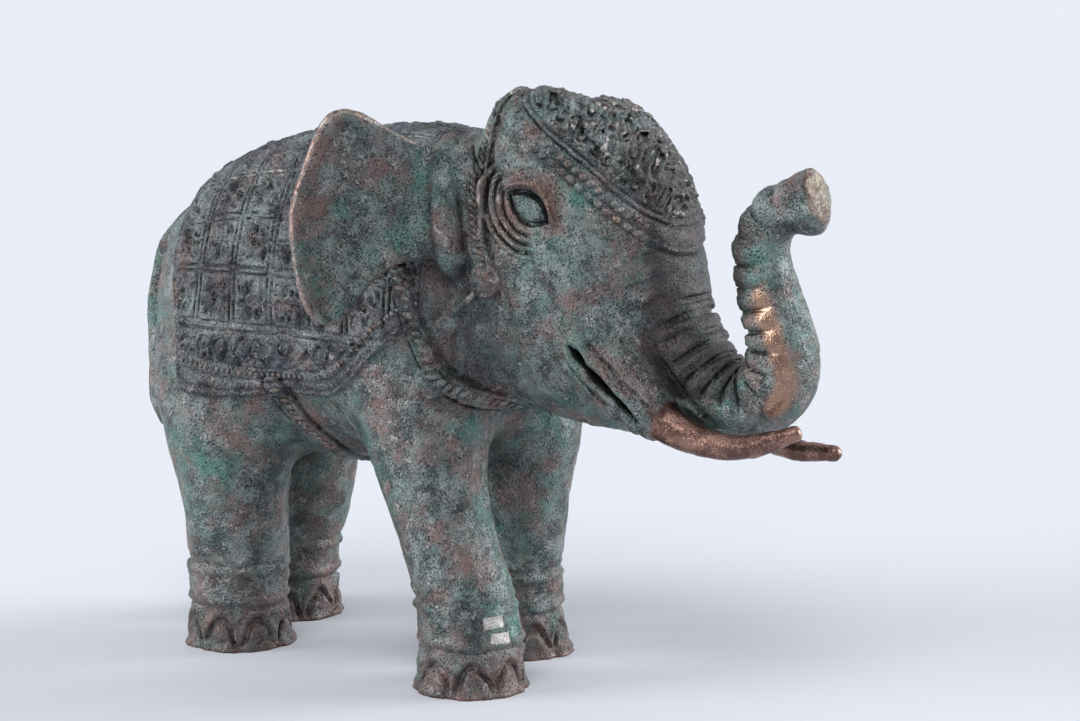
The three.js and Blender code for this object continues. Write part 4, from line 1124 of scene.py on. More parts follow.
@dataclass
class Placing:
    """Turns places in the pose into places in the frame."""

    scale: float = 1.0
    shift: Vector = field(default_factory=Vector)

    @classmethod
    def around(cls, vertices: Array) -> "Placing":
        """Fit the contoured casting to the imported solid.

        Args:
            vertices: The casting's vertices in the pose, one row each.

        Returns:
            The placing, which keeps the proportions and makes the heights agree.
        """
        low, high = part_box(SOLID)
        pose_low, pose_high = Vector(vertices.min(0).tolist()), Vector(vertices.max(0).tolist())
        scale = (high.z - low.z) / (pose_high.z - pose_low.z)
        shift = (low + high) / 2 - (pose_low + pose_high) / 2 * scale
        return cls(scale, shift)

    def __call__(self, p: Array) -> Array:
        """Move places, one row each, from the pose into the frame."""
        return p * self.scale + np.array(self.shift)


class Detail(Enum):
    """How finely the casting is contoured: the cell, and the triangles that are kept."""

    DRAFT = (0.9, 90_000)
    FINE = (0.5, 196_000)

    @property
    def cell(self) -> float:
        """The side of a cell, in the pose."""
        return self.value[0]

    @property
    def triangles(self) -> int:
        """The most triangles that are kept."""
        return self.value[1]


@dataclass
class Sculpture:
    """The main piece: the contoured casting, thinned, with the wear and the painted shade that its finish reads."""

    casting: Casting
    detail: Detail
    deep_reach: float = 2.8
    shelter_reach: float = 7.0

    def build(self) -> tuple[bpy.types.Object, Placing]:
        """Contour the casting and make its piece.

        Returns:
            The piece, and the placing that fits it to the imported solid.
        """
        vertices, faces = contour(self.casting, POSE_LOW, POSE_HIGH, self.detail.cell)
        raw = new_mesh("contour", vertices, faces)
        lifted = vertices - self._offsets(raw)[:, None] * vertex_normals(raw).T
        raw.vertices.foreach_set("co", np.ascontiguousarray(lifted, np.float32).ravel())
        holder = bpy.data.objects.new("contour", raw)
        bpy.context.scene.collection.objects.link(holder)
        thin = holder.modifiers.new("thin", "DECIMATE")
        thin.ratio = min(1.0, self.detail.triangles / (2 * len(faces)))
        piece = baked(holder, "elephant_casting")
        placing = Placing.around(coordinates(piece.data).T)
        add_values(piece.data, self.wear(coordinates(piece.data), vertex_normals(piece.data)))
        placed = placing(coordinates(piece.data).T)
        piece.data.vertices.foreach_set("co", np.ascontiguousarray(placed, np.float32).ravel())
        piece.data.update()
        piece.data.shade_smooth()
        return piece, placing

    def _offsets(self, mesh: bpy.types.Mesh) -> Array:
        """How far each vertex of the contour still lies from the surface, at most a third of a cell."""
        limit = self.detail.cell / 3
        return np.clip(self.casting(coordinates(mesh)), -limit, limit)

    def wear(self, p: Array, normals: Array) -> dict[str, Array]:
        """Work out where the skin is rubbed, hollow or dressed, and where shade is painted.

        Args:
            p: Places on the surface, one column each.
            normals: The way out at each.

        Returns:
            A value for each vertex, under the names that the finishes read.
        """
        casting = self.casting
        side = mirrored(p)
        edge = (1 + casting(p - normals * 1.2) / 1.2) * smoothstep(0.5, 3.5, p[2])
        edge = np.maximum(edge, 1.1 * self._rim(side))
        # hollow, deep and shelter measure how closed in the skin is, near and farther out; the finish paints shade
        # with them
        hollow = 1 - casting(p + normals * 1.0) / 1.0
        shelter = 1 - casting(p + normals * self.shelter_reach) / self.shelter_reach
        _, inside, to_hem = casting.cloth.place(p)
        level = casting.head.cap.level(p)
        torso_gap = np.abs(casting.dressed_body(p))
        cloth = smoothstep(-0.5, 0.5, inside) * smoothstep(2.2, 1.0, torso_gap)
        bare = (p[1] < casting.head.cap.back) & (p[1] > -97)
        cap = smoothstep(-2.5, -1.5, level) * bare * smoothstep(4, 2, np.abs(casting.head.shape(p, side)))
        return {
            "edge": edge,
            "hollow": hollow,
            "deep": 1 - casting(p + normals * self.deep_reach) / self.deep_reach,
            "cloth": cloth,
            "cap": cap,
            "copper": self._copper(p, side),
            "gold": self._gold(p),
            "blush": self._blush(side),
            # painted shade under the ear and down the trunk's front, and darker feet towards the floor
            "tip": self._tip(p),
            "soot": self._painted_shade(p, side, shelter),
        }

    def _rim(self, side: Array) -> Array:
        """The outermost line of the ears."""
        u, w, off = self.casting.ear.local(side)
        near = smoothstep(3.5, 2.5, np.abs(off)) * smoothstep(30, 33, side[0])
        return smoothstep(-0.5, 0.6, self.casting.ear.edge(u, w)) * near

    def _copper(self, p: Array, side: Array) -> Array:
        """Where the patina is rubbed through to copper."""
        casting = self.casting
        past_lip = smoothstep(-88, -93, p[1])
        tusk = smoothstep(1.3, 0.3, casting.tusks.shape(p)) * past_lip
        along, up, out = casting.head.eye.local(side)
        face = smoothstep(16, 18, side[0]) * (np.abs(side[1] + 62) < 14)
        brow = stroke(out - 3.6, 6.0) * (up > 0) * (out > 0.8) * smoothstep(-5.5, 0, along) * casting.head.eye.near(along) * face
        soles = smoothstep(1.4, 0.2, p[2])
        return np.clip(np.maximum.reduce([tusk, 0.5 * self._rim(side), 0.6 * brow, 0.6 * soles]), 0, 1)

    def _blush(self, side: Array) -> Array:
        """Where the patina has a soft brown cast: the outer half of the ears and round the eyes."""
        u, w, off = self.casting.ear.local(side)
        ear = smoothstep(18, 34, u) * smoothstep(-24, -4, w) * smoothstep(5, 3, np.abs(off)) * (side[0] > 30)
        _, _, out = self.casting.head.eye.local(side)
        eye = smoothstep(9, 3, out) * smoothstep(0.2, 1.4, out) * smoothstep(16, 18, side[0]) * (np.abs(side[1] + 62) < 16) * (side[2] > 105)
        return np.maximum.reduce([0.32 * ear, 0.4 * eye, 0.3 * smoothstep(26, 6, side[2])])

    def _gold(self, p: Array) -> Array:
        """Where handling has polished a ridge on the right side of the trunk."""
        trunk = self.casting.head.trunk
        off, along = trunk.ridge.nearest(p)
        ridge = smoothstep(4.2, 0.2, off) * smoothstep(-3, -5, p[0]) * smoothstep(0, 9, along)
        return ridge

    def _tip(self, p: Array) -> Array:
        """The cut face of the trunk's tip, filed to plain metal."""
        return smoothstep(1.0, 0.3, np.abs(self.casting.head.trunk.end(p))) * (p[1] < -118) * (p[2] > 112)

    def _painted_shade(self, p: Array, side: Array, shelter: Array) -> Array:
        """Where shade is painted dark into the skin: between ear, breast and shoulder, deeper where the skin is
        closed in, and down the front of the trunk; the feet are also darker towards the floor.
        """
        breast = smoothstep(12, -6, Ellipsoid((27, -40, 90), (15, 15, 18))(side))
        feet = 0.45 * smoothstep(30, 4, p[2])
        trunk = smoothstep(-78, -85, p[1]) * smoothstep(-113, -107, p[1]) * smoothstep(15.5, 11.5, side[0])
        return np.maximum.reduce([breast * (0.55 + 0.45 * np.clip(shelter, 0, 1)), 1.0 * trunk * (p[2] > 76), feet])


def land(shape: Field, inner: Array, outer: Array, steps: int = 16) -> Array:
    """Find where lines from inside a shape to outside it leave it.

    Args:
        shape: The field.
        inner: Places inside, one column each.
        outer: Places outside, one column each.
        steps: How many times the lines are halved.

    Returns:
        The places on the surface, one column each.
    """
    inner, outer = inner.astype(np.float32), outer.astype(np.float32)
    for _ in range(steps):
        middle = (inner + outer) / 2
        inside = shape(middle) < 0
        inner = np.where(inside, middle, inner)
        outer = np.where(inside, outer, middle)
    return (inner + outer) / 2


def slope(shape: Field, p: Array, step: float = 0.4) -> Array:
    """Give the way out of a shape at places on it, one column each."""
    way = np.empty_like(p)
    for axis in range(3):
        ahead, behind = p.copy(), p.copy()
        ahead[axis] += step
        behind[axis] -= step
        way[axis] = shape(ahead) - shape(behind)
    return way / np.maximum(np.linalg.norm(way, axis=0), 1e-9)


def spaced(p: Array, pitch: float) -> Array:
    """Set places evenly along the line through the given ones.

    Args:
        p: Places along a line, one column each.
        pitch: About how far apart the new ones are.

    Returns:
        The new places, one column each.
    """
    reach = np.concatenate(([0], np.cumsum(np.linalg.norm(np.diff(p, axis=1), axis=0))))
    count = max(2, round(float(reach[-1]) / pitch) + 1)
    at = np.linspace(0, reach[-1], count)
    return np.stack([np.interp(at, reach, row) for row in p]).astype(np.float32)


class LumpTree:
    """A geometry node tree that sets a lump at every place of a path, and its named inputs."""

    def __init__(self, name: str, material: bpy.types.Material) -> None:
        """Build the tree.

        Args:
            name: The tree's name.
            material: The finish of the lumps.
        """
        tree = bpy.data.node_groups.new(name, "GeometryNodeTree")
        interface = tree.interface
        interface.new_socket("Geometry", in_out="INPUT", socket_type="NodeSocketGeometry")
        for label in ("Length", "Width", "Height", "Turn", "Unevenness"):
            interface.new_socket(label, in_out="INPUT", socket_type="NodeSocketFloat")
        interface.new_socket("Seed", in_out="INPUT", socket_type="NodeSocketInt")
        interface.new_socket("Geometry", in_out="OUTPUT", socket_type="NodeSocketGeometry")
        self.tree = tree
        self.inputs = {item.name: item.identifier for item in interface.items_tree if item.in_out == "INPUT"}
        given = self._node("NodeGroupInput").outputs
        lump = self._node("GeometryNodeMeshIcoSphere")
        lump.inputs["Radius"].default_value = 0.5
        lump.inputs["Subdivisions"].default_value = 2
        shape = self._node("ShaderNodeCombineXYZ")
        for axis, label in zip("XYZ", ("Length", "Width", "Height")):
            self._link(given[label], shape.inputs[axis])
        out = self._align(None, "Z", "AUTO", self._attribute("normal"))
        along = self._align(out, "X", "Z", self._attribute("tangent"))
        spin = self._node("FunctionNodeAxisAngleToRotation")
        spin.inputs["Axis"].default_value = (0, 0, 1)
        self._link(given["Turn"], spin.inputs["Angle"])
        turned = self._node("FunctionNodeRotateRotation")
        turned.rotation_space = "LOCAL"
        self._link(along, turned.inputs["Rotation"])
        self._link(spin.outputs["Rotation"], turned.inputs["Rotate By"])
        drift = self._node("ShaderNodeMath")
        drift.operation = "SUBTRACT"
        drift.inputs[0].default_value = 1
        self._link(given["Unevenness"], drift.inputs[1])
        grow = self._node("FunctionNodeRandomValue")
        grow.data_type = "FLOAT"
        sizes = [socket for socket in grow.inputs if socket.type == "VALUE"]
        self._link(drift.outputs[0], sizes[0])
        sizes[1].default_value = 1
        self._link(given["Seed"], grow.inputs["Seed"])
        share = next(socket for socket in grow.outputs if socket.type == "VALUE")
        scaled = self._node("ShaderNodeVectorMath")
        scaled.operation = "SCALE"
        self._link(shape.outputs[0], scaled.inputs[0])
        self._link(share, scaled.inputs["Scale"])
        points = self._node("GeometryNodeMeshToPoints")
        self._link(given["Geometry"], points.inputs["Mesh"])
        copies = self._node("GeometryNodeInstanceOnPoints")
        self._link(points.outputs["Points"], copies.inputs["Points"])
        self._link(lump.outputs["Mesh"], copies.inputs["Instance"])
        self._link(turned.outputs["Rotation"], copies.inputs["Rotation"])
        self._link(scaled.outputs[0], copies.inputs["Scale"])
        real = self._node("GeometryNodeRealizeInstances")
        self._link(copies.outputs["Instances"], real.inputs["Geometry"])
        smooth = self._node("GeometryNodeSetShadeSmooth")
        self._link(real.outputs["Geometry"], smooth.inputs["Geometry"])
        dress = self._node("GeometryNodeSetMaterial")
        dress.inputs["Material"].default_value = material
        self._link(smooth.outputs["Geometry"], dress.inputs["Geometry"])
        self._link(dress.outputs["Geometry"], self._node("NodeGroupOutput").inputs["Geometry"])

    def _node(self, kind: str) -> bpy.types.Node:
        """Add a node."""
        return self.tree.nodes.new(kind)

    def _link(self, start: bpy.types.NodeSocket, end: bpy.types.NodeSocket) -> None:
        """Join two sockets."""
        self.tree.links.new(start, end)

    def _attribute(self, name: str) -> bpy.types.NodeSocket:
        """Read a direction that the path's places hold."""
        node = self._node("GeometryNodeInputNamedAttribute")
        node.data_type = "FLOAT_VECTOR"
        node.inputs["Name"].default_value = name
        return node.outputs["Attribute"]

    def _align(self, start: bpy.types.NodeSocket | None, axis: str, pivot: str,
               way: bpy.types.NodeSocket) -> bpy.types.NodeSocket:
        """Turn one axis of a rotation towards a direction.

        Args:
            start: The rotation to start from, or none for an unturned one.
            axis: The axis that is turned.
            pivot: The axis that it is turned about.
            way: The direction.

        Returns:
            The new rotation.
        """
        node = self._node("FunctionNodeAlignRotationToVector")
        node.axis = axis
        node.pivot_axis = pivot
        if start is not None:
            self._link(start, node.inputs["Rotation"])
        self._link(way, node.inputs["Vector"])
        return node.outputs["Rotation"]


@dataclass(frozen=True)
class LumpRow:
    """A row of cast lumps along a path on the casting, with sizes in the pose."""

    name: str
    pitch: float
    length: float
    width: float
    height: float
    turn: float = 0.0
    unevenness: float = 0.15
    seed: int = 3

    def build(self, paths: Sequence[Array], skin: Field, placing: Placing, tree: LumpTree) -> bpy.types.Object:
        """Make the row's piece.

        Args:
            paths: Places along each stretch of the row, on the skin, one column each.
            skin: The field that the row lies on.
            placing: The placing of the pose in the frame.
            tree: The node tree that sets the lumps.

        Returns:
            The piece.
        """
        places = [spaced(path, self.pitch) for path in paths]
        ways = [np.gradient(p, axis=1) for p in places]
        p = np.concatenate(places, axis=1)
        normals = slope(skin, p)
        mesh = bpy.data.meshes.new(self.name)
        mesh.from_pydata(placing(p.T).tolist(), [], [])
        for name, values in (("normal", normals), ("tangent", np.concatenate(ways, axis=1))):
            attribute = mesh.attributes.new(name, "FLOAT_VECTOR", "POINT")
            attribute.data.foreach_set("vector", np.ascontiguousarray(values.T, np.float32).ravel())
        holder = bpy.data.objects.new(self.name, mesh)
        bpy.context.scene.collection.objects.link(holder)
        rows = holder.modifiers.new("lumps", "NODES")
        rows.node_group = tree.tree
        sizes = {"Length": self.length, "Width": self.width, "Height": self.height}
        values = {label: size * placing.scale for label, size in sizes.items()}
        values |= {"Turn": self.turn, "Unevenness": self.unevenness, "Seed": self.seed}
        for label, value in values.items():
            rows[tree.inputs[label]] = value
        return baked(holder, self.name)


@dataclass(frozen=True)
class Trims:
    """The rows of beads and strands that follow the hem, the cap's border and the head strap."""

    casting: Casting
    widest: float = 33.0

    def hem(self, to_hem: float) -> list[Array]:
        """Give a line along the cloth on either side, at a height above its lower edge."""
        cloth = self.casting.cloth
        y = np.linspace(cloth.front + 2, cloth.back - 10, 90, dtype=np.float32)
        down = cloth.hem_at(y) - to_hem
        turn = down / cloth.turn_radius
        lines = []
        for side in (1, -1):
            way = np.stack((side * cloth.span[0] * np.sin(turn), y * 0, cloth.span[1] * np.cos(turn)))
            middle = np.stack((y * 0 + cloth.axis[0], y, y * 0 + cloth.axis[1]))
            lines.append(land(self.casting.dressed_body, middle + 0.4 * way, middle + 1.7 * way))
        return lines

    def cap_border(self, level: float, run_to: float) -> list[Array]:
        """Give a line along the cap's border, on either side, at a height above the main line."""
        cap = self.casting.head.cap
        run = np.linspace(4, run_to, 60, dtype=np.float32)
        y = cap.tip[0] + run * math.cos(cap.slope) - level * math.sin(cap.slope)
        z = cap.tip[1] + run * math.sin(cap.slope) + level * math.cos(cap.slope)
        return [self._across(y, z, side) for side in (1, -1)]

    def head_strap(self) -> list[Array]:
        """Give the middle line of the strap down the head, on either side."""
        y, z = self.casting.harness.head_strap.samples.T
        low = z < 146
        return [self._across(y[low], z[low], side) for side in (1, -1)]

    def breast_strap(self) -> list[Array]:
        """Give the middle line of the strap round the breast, on either side."""
        y, z = self.casting.harness.breast_strap.samples.T
        high = z > 69
        return [self._across(y[high], z[high], side) for side in (1, -1)]

    def girth(self) -> list[Array]:
        """Give the middle line of the girth, on either side."""
        y, z = self.casting.harness.girth.samples.T
        shown = (z < 71) & (z > 54)
        return [self._across(y[shown], z[shown], side) for side in (1, -1)]

    def _across(self, y: Array, z: Array, side: int) -> Array:
        """Land a line that is seen from the side on the head and body, without the ears."""
        middle = np.stack((y * 0, y, z))
        beyond = np.stack((y * 0 + 45 * side, y, z))
        return land(self.skin, middle, beyond)

    def skin(self, p: Array) -> Array:
        """Give the distances of places from the casting, without what lies far out on the ears."""
        return np.maximum(self.casting.whole(p), np.abs(p[0]) - self.widest)


Colour = tuple[float, float, float]


class Nodes:
    """Adds nodes to a shader tree, one call for each."""

    def __init__(self, tree: bpy.types.NodeTree) -> None:
        """Work on a tree."""
        self.tree = tree

    def node(self, kind: str, **settings: object) -> bpy.types.Node:
        """Add a node with its settings."""
        made = self.tree.nodes.new(kind)
        for name, value in settings.items():
            setattr(made, name, value)
        return made

    def feed(self, socket: bpy.types.NodeSocket, value: object) -> None:
        """Give a socket a link, a number or a colour."""
        if isinstance(value, bpy.types.NodeSocket):
            self.tree.links.new(value, socket)
        elif isinstance(value, tuple) and socket.type == "RGBA":
            socket.default_value = (*value, 1)
        else:
            socket.default_value = value

    def math(self, operation: str, a: object, b: object = 0.0) -> bpy.types.NodeSocket:
        """Work out one number from two."""
        node = self.node("ShaderNodeMath", operation=operation)
        self.feed(node.inputs[0], a)
        self.feed(node.inputs[1], b)
        return node.outputs[0]

    def rise(self, value: object, low: float, high: float) -> bpy.types.NodeSocket:
        """Rise smoothly from nought at low to one at high."""
        node = self.node("ShaderNodeMapRange", interpolation_type="SMOOTHSTEP")
        self.feed(node.inputs["Value"], value)
        self.feed(node.inputs["From Min"], low)
        self.feed(node.inputs["From Max"], high)
        return node.outputs["Result"]

    def mix(self, share: object, a: object, b: object) -> bpy.types.NodeSocket:
        """Mix two colours."""
        node = self.node("ShaderNodeMix", data_type="RGBA")
        factor = next(s for s in node.inputs if s.type == "VALUE" and s.enabled)
        first, second = [s for s in node.inputs if s.type == "RGBA" and s.enabled]
        self.feed(factor, share)
        self.feed(first, a)
        self.feed(second, b)
        return next(s for s in node.outputs if s.type == "RGBA" and s.enabled)

    def noise(self, place: object, scale: float, detail: float = 2.0, roughness: float = 0.5) -> bpy.types.NodeSocket:
        """Add smooth noise."""
        node = self.node("ShaderNodeTexNoise")
        self.feed(node.inputs["Vector"], place)
        self.feed(node.inputs["Scale"], scale)
        self.feed(node.inputs["Detail"], detail)
        self.feed(node.inputs["Roughness"], roughness)
        return node.outputs["Fac"]

    def millimetres(self) -> bpy.types.NodeSocket:
        """Give the place on the object in millimetres."""
        node = self.node("ShaderNodeVectorMath", operation="SCALE")
        self.feed(node.inputs[0], self.node("ShaderNodeTexCoord").outputs["Object"])
        self.feed(node.inputs["Scale"], 1000.0)
        return node.outputs[0]

    def attribute(self, name: str) -> bpy.types.NodeSocket:
        """Read a number that the piece's vertices hold."""
        return self.node("ShaderNodeAttribute", attribute_name=name).outputs["Fac"]


class Group(Nodes):
    """A shader node group with named inputs and outputs."""

    def __init__(self, name: str, inputs: dict[str, object], outputs: Sequence[str]) -> None:
        """Open the group.

        Args:
            name: The group's name.
            inputs: The inputs by name, with their usual numbers or colours.
            outputs: The outputs by name; the first is a colour if it is named Colour.
        """
        super().__init__(bpy.data.node_groups.new(name, "ShaderNodeTree"))
        for label, value in inputs.items():
            kind = "NodeSocketColor" if isinstance(value, tuple) else "NodeSocketFloat"
            socket = self.tree.interface.new_socket(label, in_out="INPUT", socket_type=kind)
            socket.default_value = (*value, 1) if isinstance(value, tuple) else value
        for label in outputs:
            kind = "NodeSocketColor" if label == "Colour" else "NodeSocketFloat"
            self.tree.interface.new_socket(label, in_out="OUTPUT", socket_type=kind)
        self.given = self.node("NodeGroupInput").outputs
        self.result = self.node("NodeGroupOutput").inputs

    def place_in(self, nodes: Nodes, **values: object) -> bpy.types.NodeOutputs:
        """Place the group in a tree with its values, and give its outputs."""
        node = nodes.node("ShaderNodeGroup", node_tree=self.tree)
        for label, value in values.items():
            nodes.feed(node.inputs[label.replace("_", " ").capitalize()], value)
        return node.outputs


def speckled_group() -> Group:
    """The mottled colour of old patina, in speckles, clouds and pits."""
    group = Group(
        "speckled patina",
        {"Dark": (0.0, 0.0, 0.0), "Body": (0.0, 0.0, 0.0), "Pale": (0.0, 0.0, 0.0), "Green": (0.0, 0.0, 0.0),
         "Brown": (0.0, 0.0, 0.0), "Green share": 0.5, "Brown share": 0.5, "Pale share": 0.5, "Pit share": 0.5},
        ("Colour", "Pits", "Height"))
    given = group.given
    place = group.millimetres()
    moved = group.node("ShaderNodeVectorMath", operation="ADD")
    group.feed(moved.inputs[0], place)
    moved.inputs[1].default_value = (31, 17, 53)
    elsewhere = moved.outputs[0]
    cloud = group.noise(place, 0.085, 4, 0.62)
    drift = group.noise(place, 0.2, 4, 0.66)
    speckle = group.noise(place, 1.9, 2, 0.6)
    fleck = group.noise(elsewhere, 0.34, 4, 0.7)
    stain = group.noise(elsewhere, 0.1, 4, 0.64)

    def shifted(base: object, grain: object, amount: float, share: str) -> object:
        """Roughen a slow value by a quick one and raise it by a share."""
        rough = group.math("MULTIPLY", group.math("SUBTRACT", grain, 0.5), amount)
        raised = group.math("MULTIPLY", given[share], 0.3)
        return group.math("ADD", group.math("ADD", base, rough), raised)

    tone = group.math("ADD", group.math("MULTIPLY", speckle, 0.5), drift)
    colour = group.mix(group.rise(tone, 0.61, 0.89), given["Dark"], given["Body"])
    green = group.rise(shifted(cloud, speckle, 0.45, "Green share"), 0.5, 0.8)
    colour = group.mix(group.math("MULTIPLY", green, 0.9), colour, given["Green"])
    brown = group.rise(shifted(stain, speckle, 0.45, "Brown share"), 0.5, 0.82)
    colour = group.mix(group.math("MULTIPLY", brown, 0.9), colour, given["Brown"])
    pale = group.rise(shifted(fleck, speckle, 0.5, "Pale share"), 0.66, 0.9)
    colour = group.mix(group.math("MULTIPLY", pale, 0.65), colour, given["Pale"])
    cells = group.node("ShaderNodeTexVoronoi")
    group.feed(cells.inputs["Vector"], place)
    group.feed(cells.inputs["Scale"], 1.5)
    gate = shifted(group.noise(elsewhere, 0.3, 2, 0.6), drift, 0.0, "Pit share")
    pits = group.math("MULTIPLY", group.rise(cells.outputs["Distance"], 0.4, 0.16), group.rise(gate, 0.52, 0.72))
    group.feed(group.result["Colour"], group.mix(group.math("MULTIPLY", pits, 0.7), colour, (0.010, 0.011, 0.012)))
    group.feed(group.result["Pits"], pits)
    height = group.math("ADD", group.math("MULTIPLY", speckle, 0.8), group.math("MULTIPLY", fleck, 0.25))
    group.feed(group.result["Height"], group.math("SUBTRACT", height, group.math("MULTIPLY", pits, 0.9)))
    return group


def wear_group() -> Group:
    """A mask that breaks up a smooth value into rubbed patches."""
    group = Group("rubbed through", {"Amount": 0.0, "Size": 1.0, "Roughen": 0.5, "Low": 0.4, "High": 0.6}, ("Mask",))
    given = group.given
    spots = group.node("ShaderNodeTexNoise")
    group.feed(spots.inputs["Vector"], group.millimetres())
    group.feed(spots.inputs["Scale"], given["Size"])
    group.feed(spots.inputs["Detail"], 3.0)
    group.feed(spots.inputs["Roughness"], 0.65)
    uneven = group.math("MULTIPLY", group.math("SUBTRACT", spots.outputs["Fac"], 0.5), given["Roughen"])
    mask = group.node("ShaderNodeMapRange", interpolation_type="SMOOTHSTEP")
    group.feed(mask.inputs["Value"], group.math("ADD", given["Amount"], uneven))
    group.feed(mask.inputs["From Min"], given["Low"])
    group.feed(mask.inputs["From Max"], given["High"])
    group.feed(group.result["Mask"], mask.outputs["Result"])
    return group


@dataclass(frozen=True)
class Metals:
    """The colours of the bronze, from its patina down to the bare metal, with the colours of painted shade and
    painted highlights.
    """

    dark: Colour = (0.040, 0.050, 0.051)
    body: Colour = (0.198, 0.240, 0.235)
    pale: Colour = (0.50, 0.47, 0.47)
    green: Colour = (0.070, 0.195, 0.165)
    brown: Colour = (0.200, 0.122, 0.112)
    cloth: Colour = (0.106, 0.114, 0.135)
    cloth_dark: Colour = (0.020, 0.021, 0.024)
    # the colour of painted shade under the ear and down the trunk's front, also darkening the feet
    soot: Colour = (0.030, 0.024, 0.027)
    # the near black of painted shade in hollows and creases
    crevice_shade: Colour = (0.006, 0.006, 0.007)
    copper: Colour = (0.29, 0.172, 0.138)
    copper_dark: Colour = (0.120, 0.070, 0.058)
    filed: Colour = (0.42, 0.36, 0.28)
    # the pale colour of a painted highlight on two small flats of an anklet
    facet_highlight: Colour = (0.60, 0.56, 0.55)
    # pale rubbed metal on worn edges, and painted glints of highlight in patches
    worn_and_glint: Colour = (0.66, 0.58, 0.52)
    gold: Colour = (0.38, 0.245, 0.175)


@dataclass(frozen=True)
class HighlightFlat:
    """A small four-sided flat on the right front anklet, painted pale as the highlight that it catches; all in the
    pose.
    """

    centre: Row
    across: Row
    half_width: float
    half_height: float

    def mask(self, nodes: Nodes, place: bpy.types.NodeSocket, placing: Placing) -> bpy.types.NodeSocket:
        """Give one on the flat and nought off it.

        Args:
            nodes: The material's nodes.
            place: The place on the object in millimetres.
            placing: The placing of the pose in the frame.

        Returns:
            The mask.
        """
        middle = placing(np.array([self.centre]))[0] * 1000
        size = placing.scale * 1000
        across = Vector(self.across).normalized()
        out = Vector((across.y, -across.x, 0)).normalized()
        sides = ((across, self.half_width), (out.cross(across), self.half_height), (out, 4.0))
        off = nodes.node("ShaderNodeVectorMath", operation="SUBTRACT")
        nodes.feed(off.inputs[0], place)
        off.inputs[1].default_value = middle.tolist()
        most = 0.0
        for way, half in sides:
            reach = nodes.node("ShaderNodeVectorMath", operation="DOT_PRODUCT")
            nodes.feed(reach.inputs[0], off.outputs[0])
            reach.inputs[1].default_value = way / (half * size)
            most = nodes.math("MAXIMUM", nodes.math("ABSOLUTE", reach.outputs["Value"]), most)
        return nodes.rise(most, 1.05, 0.93)


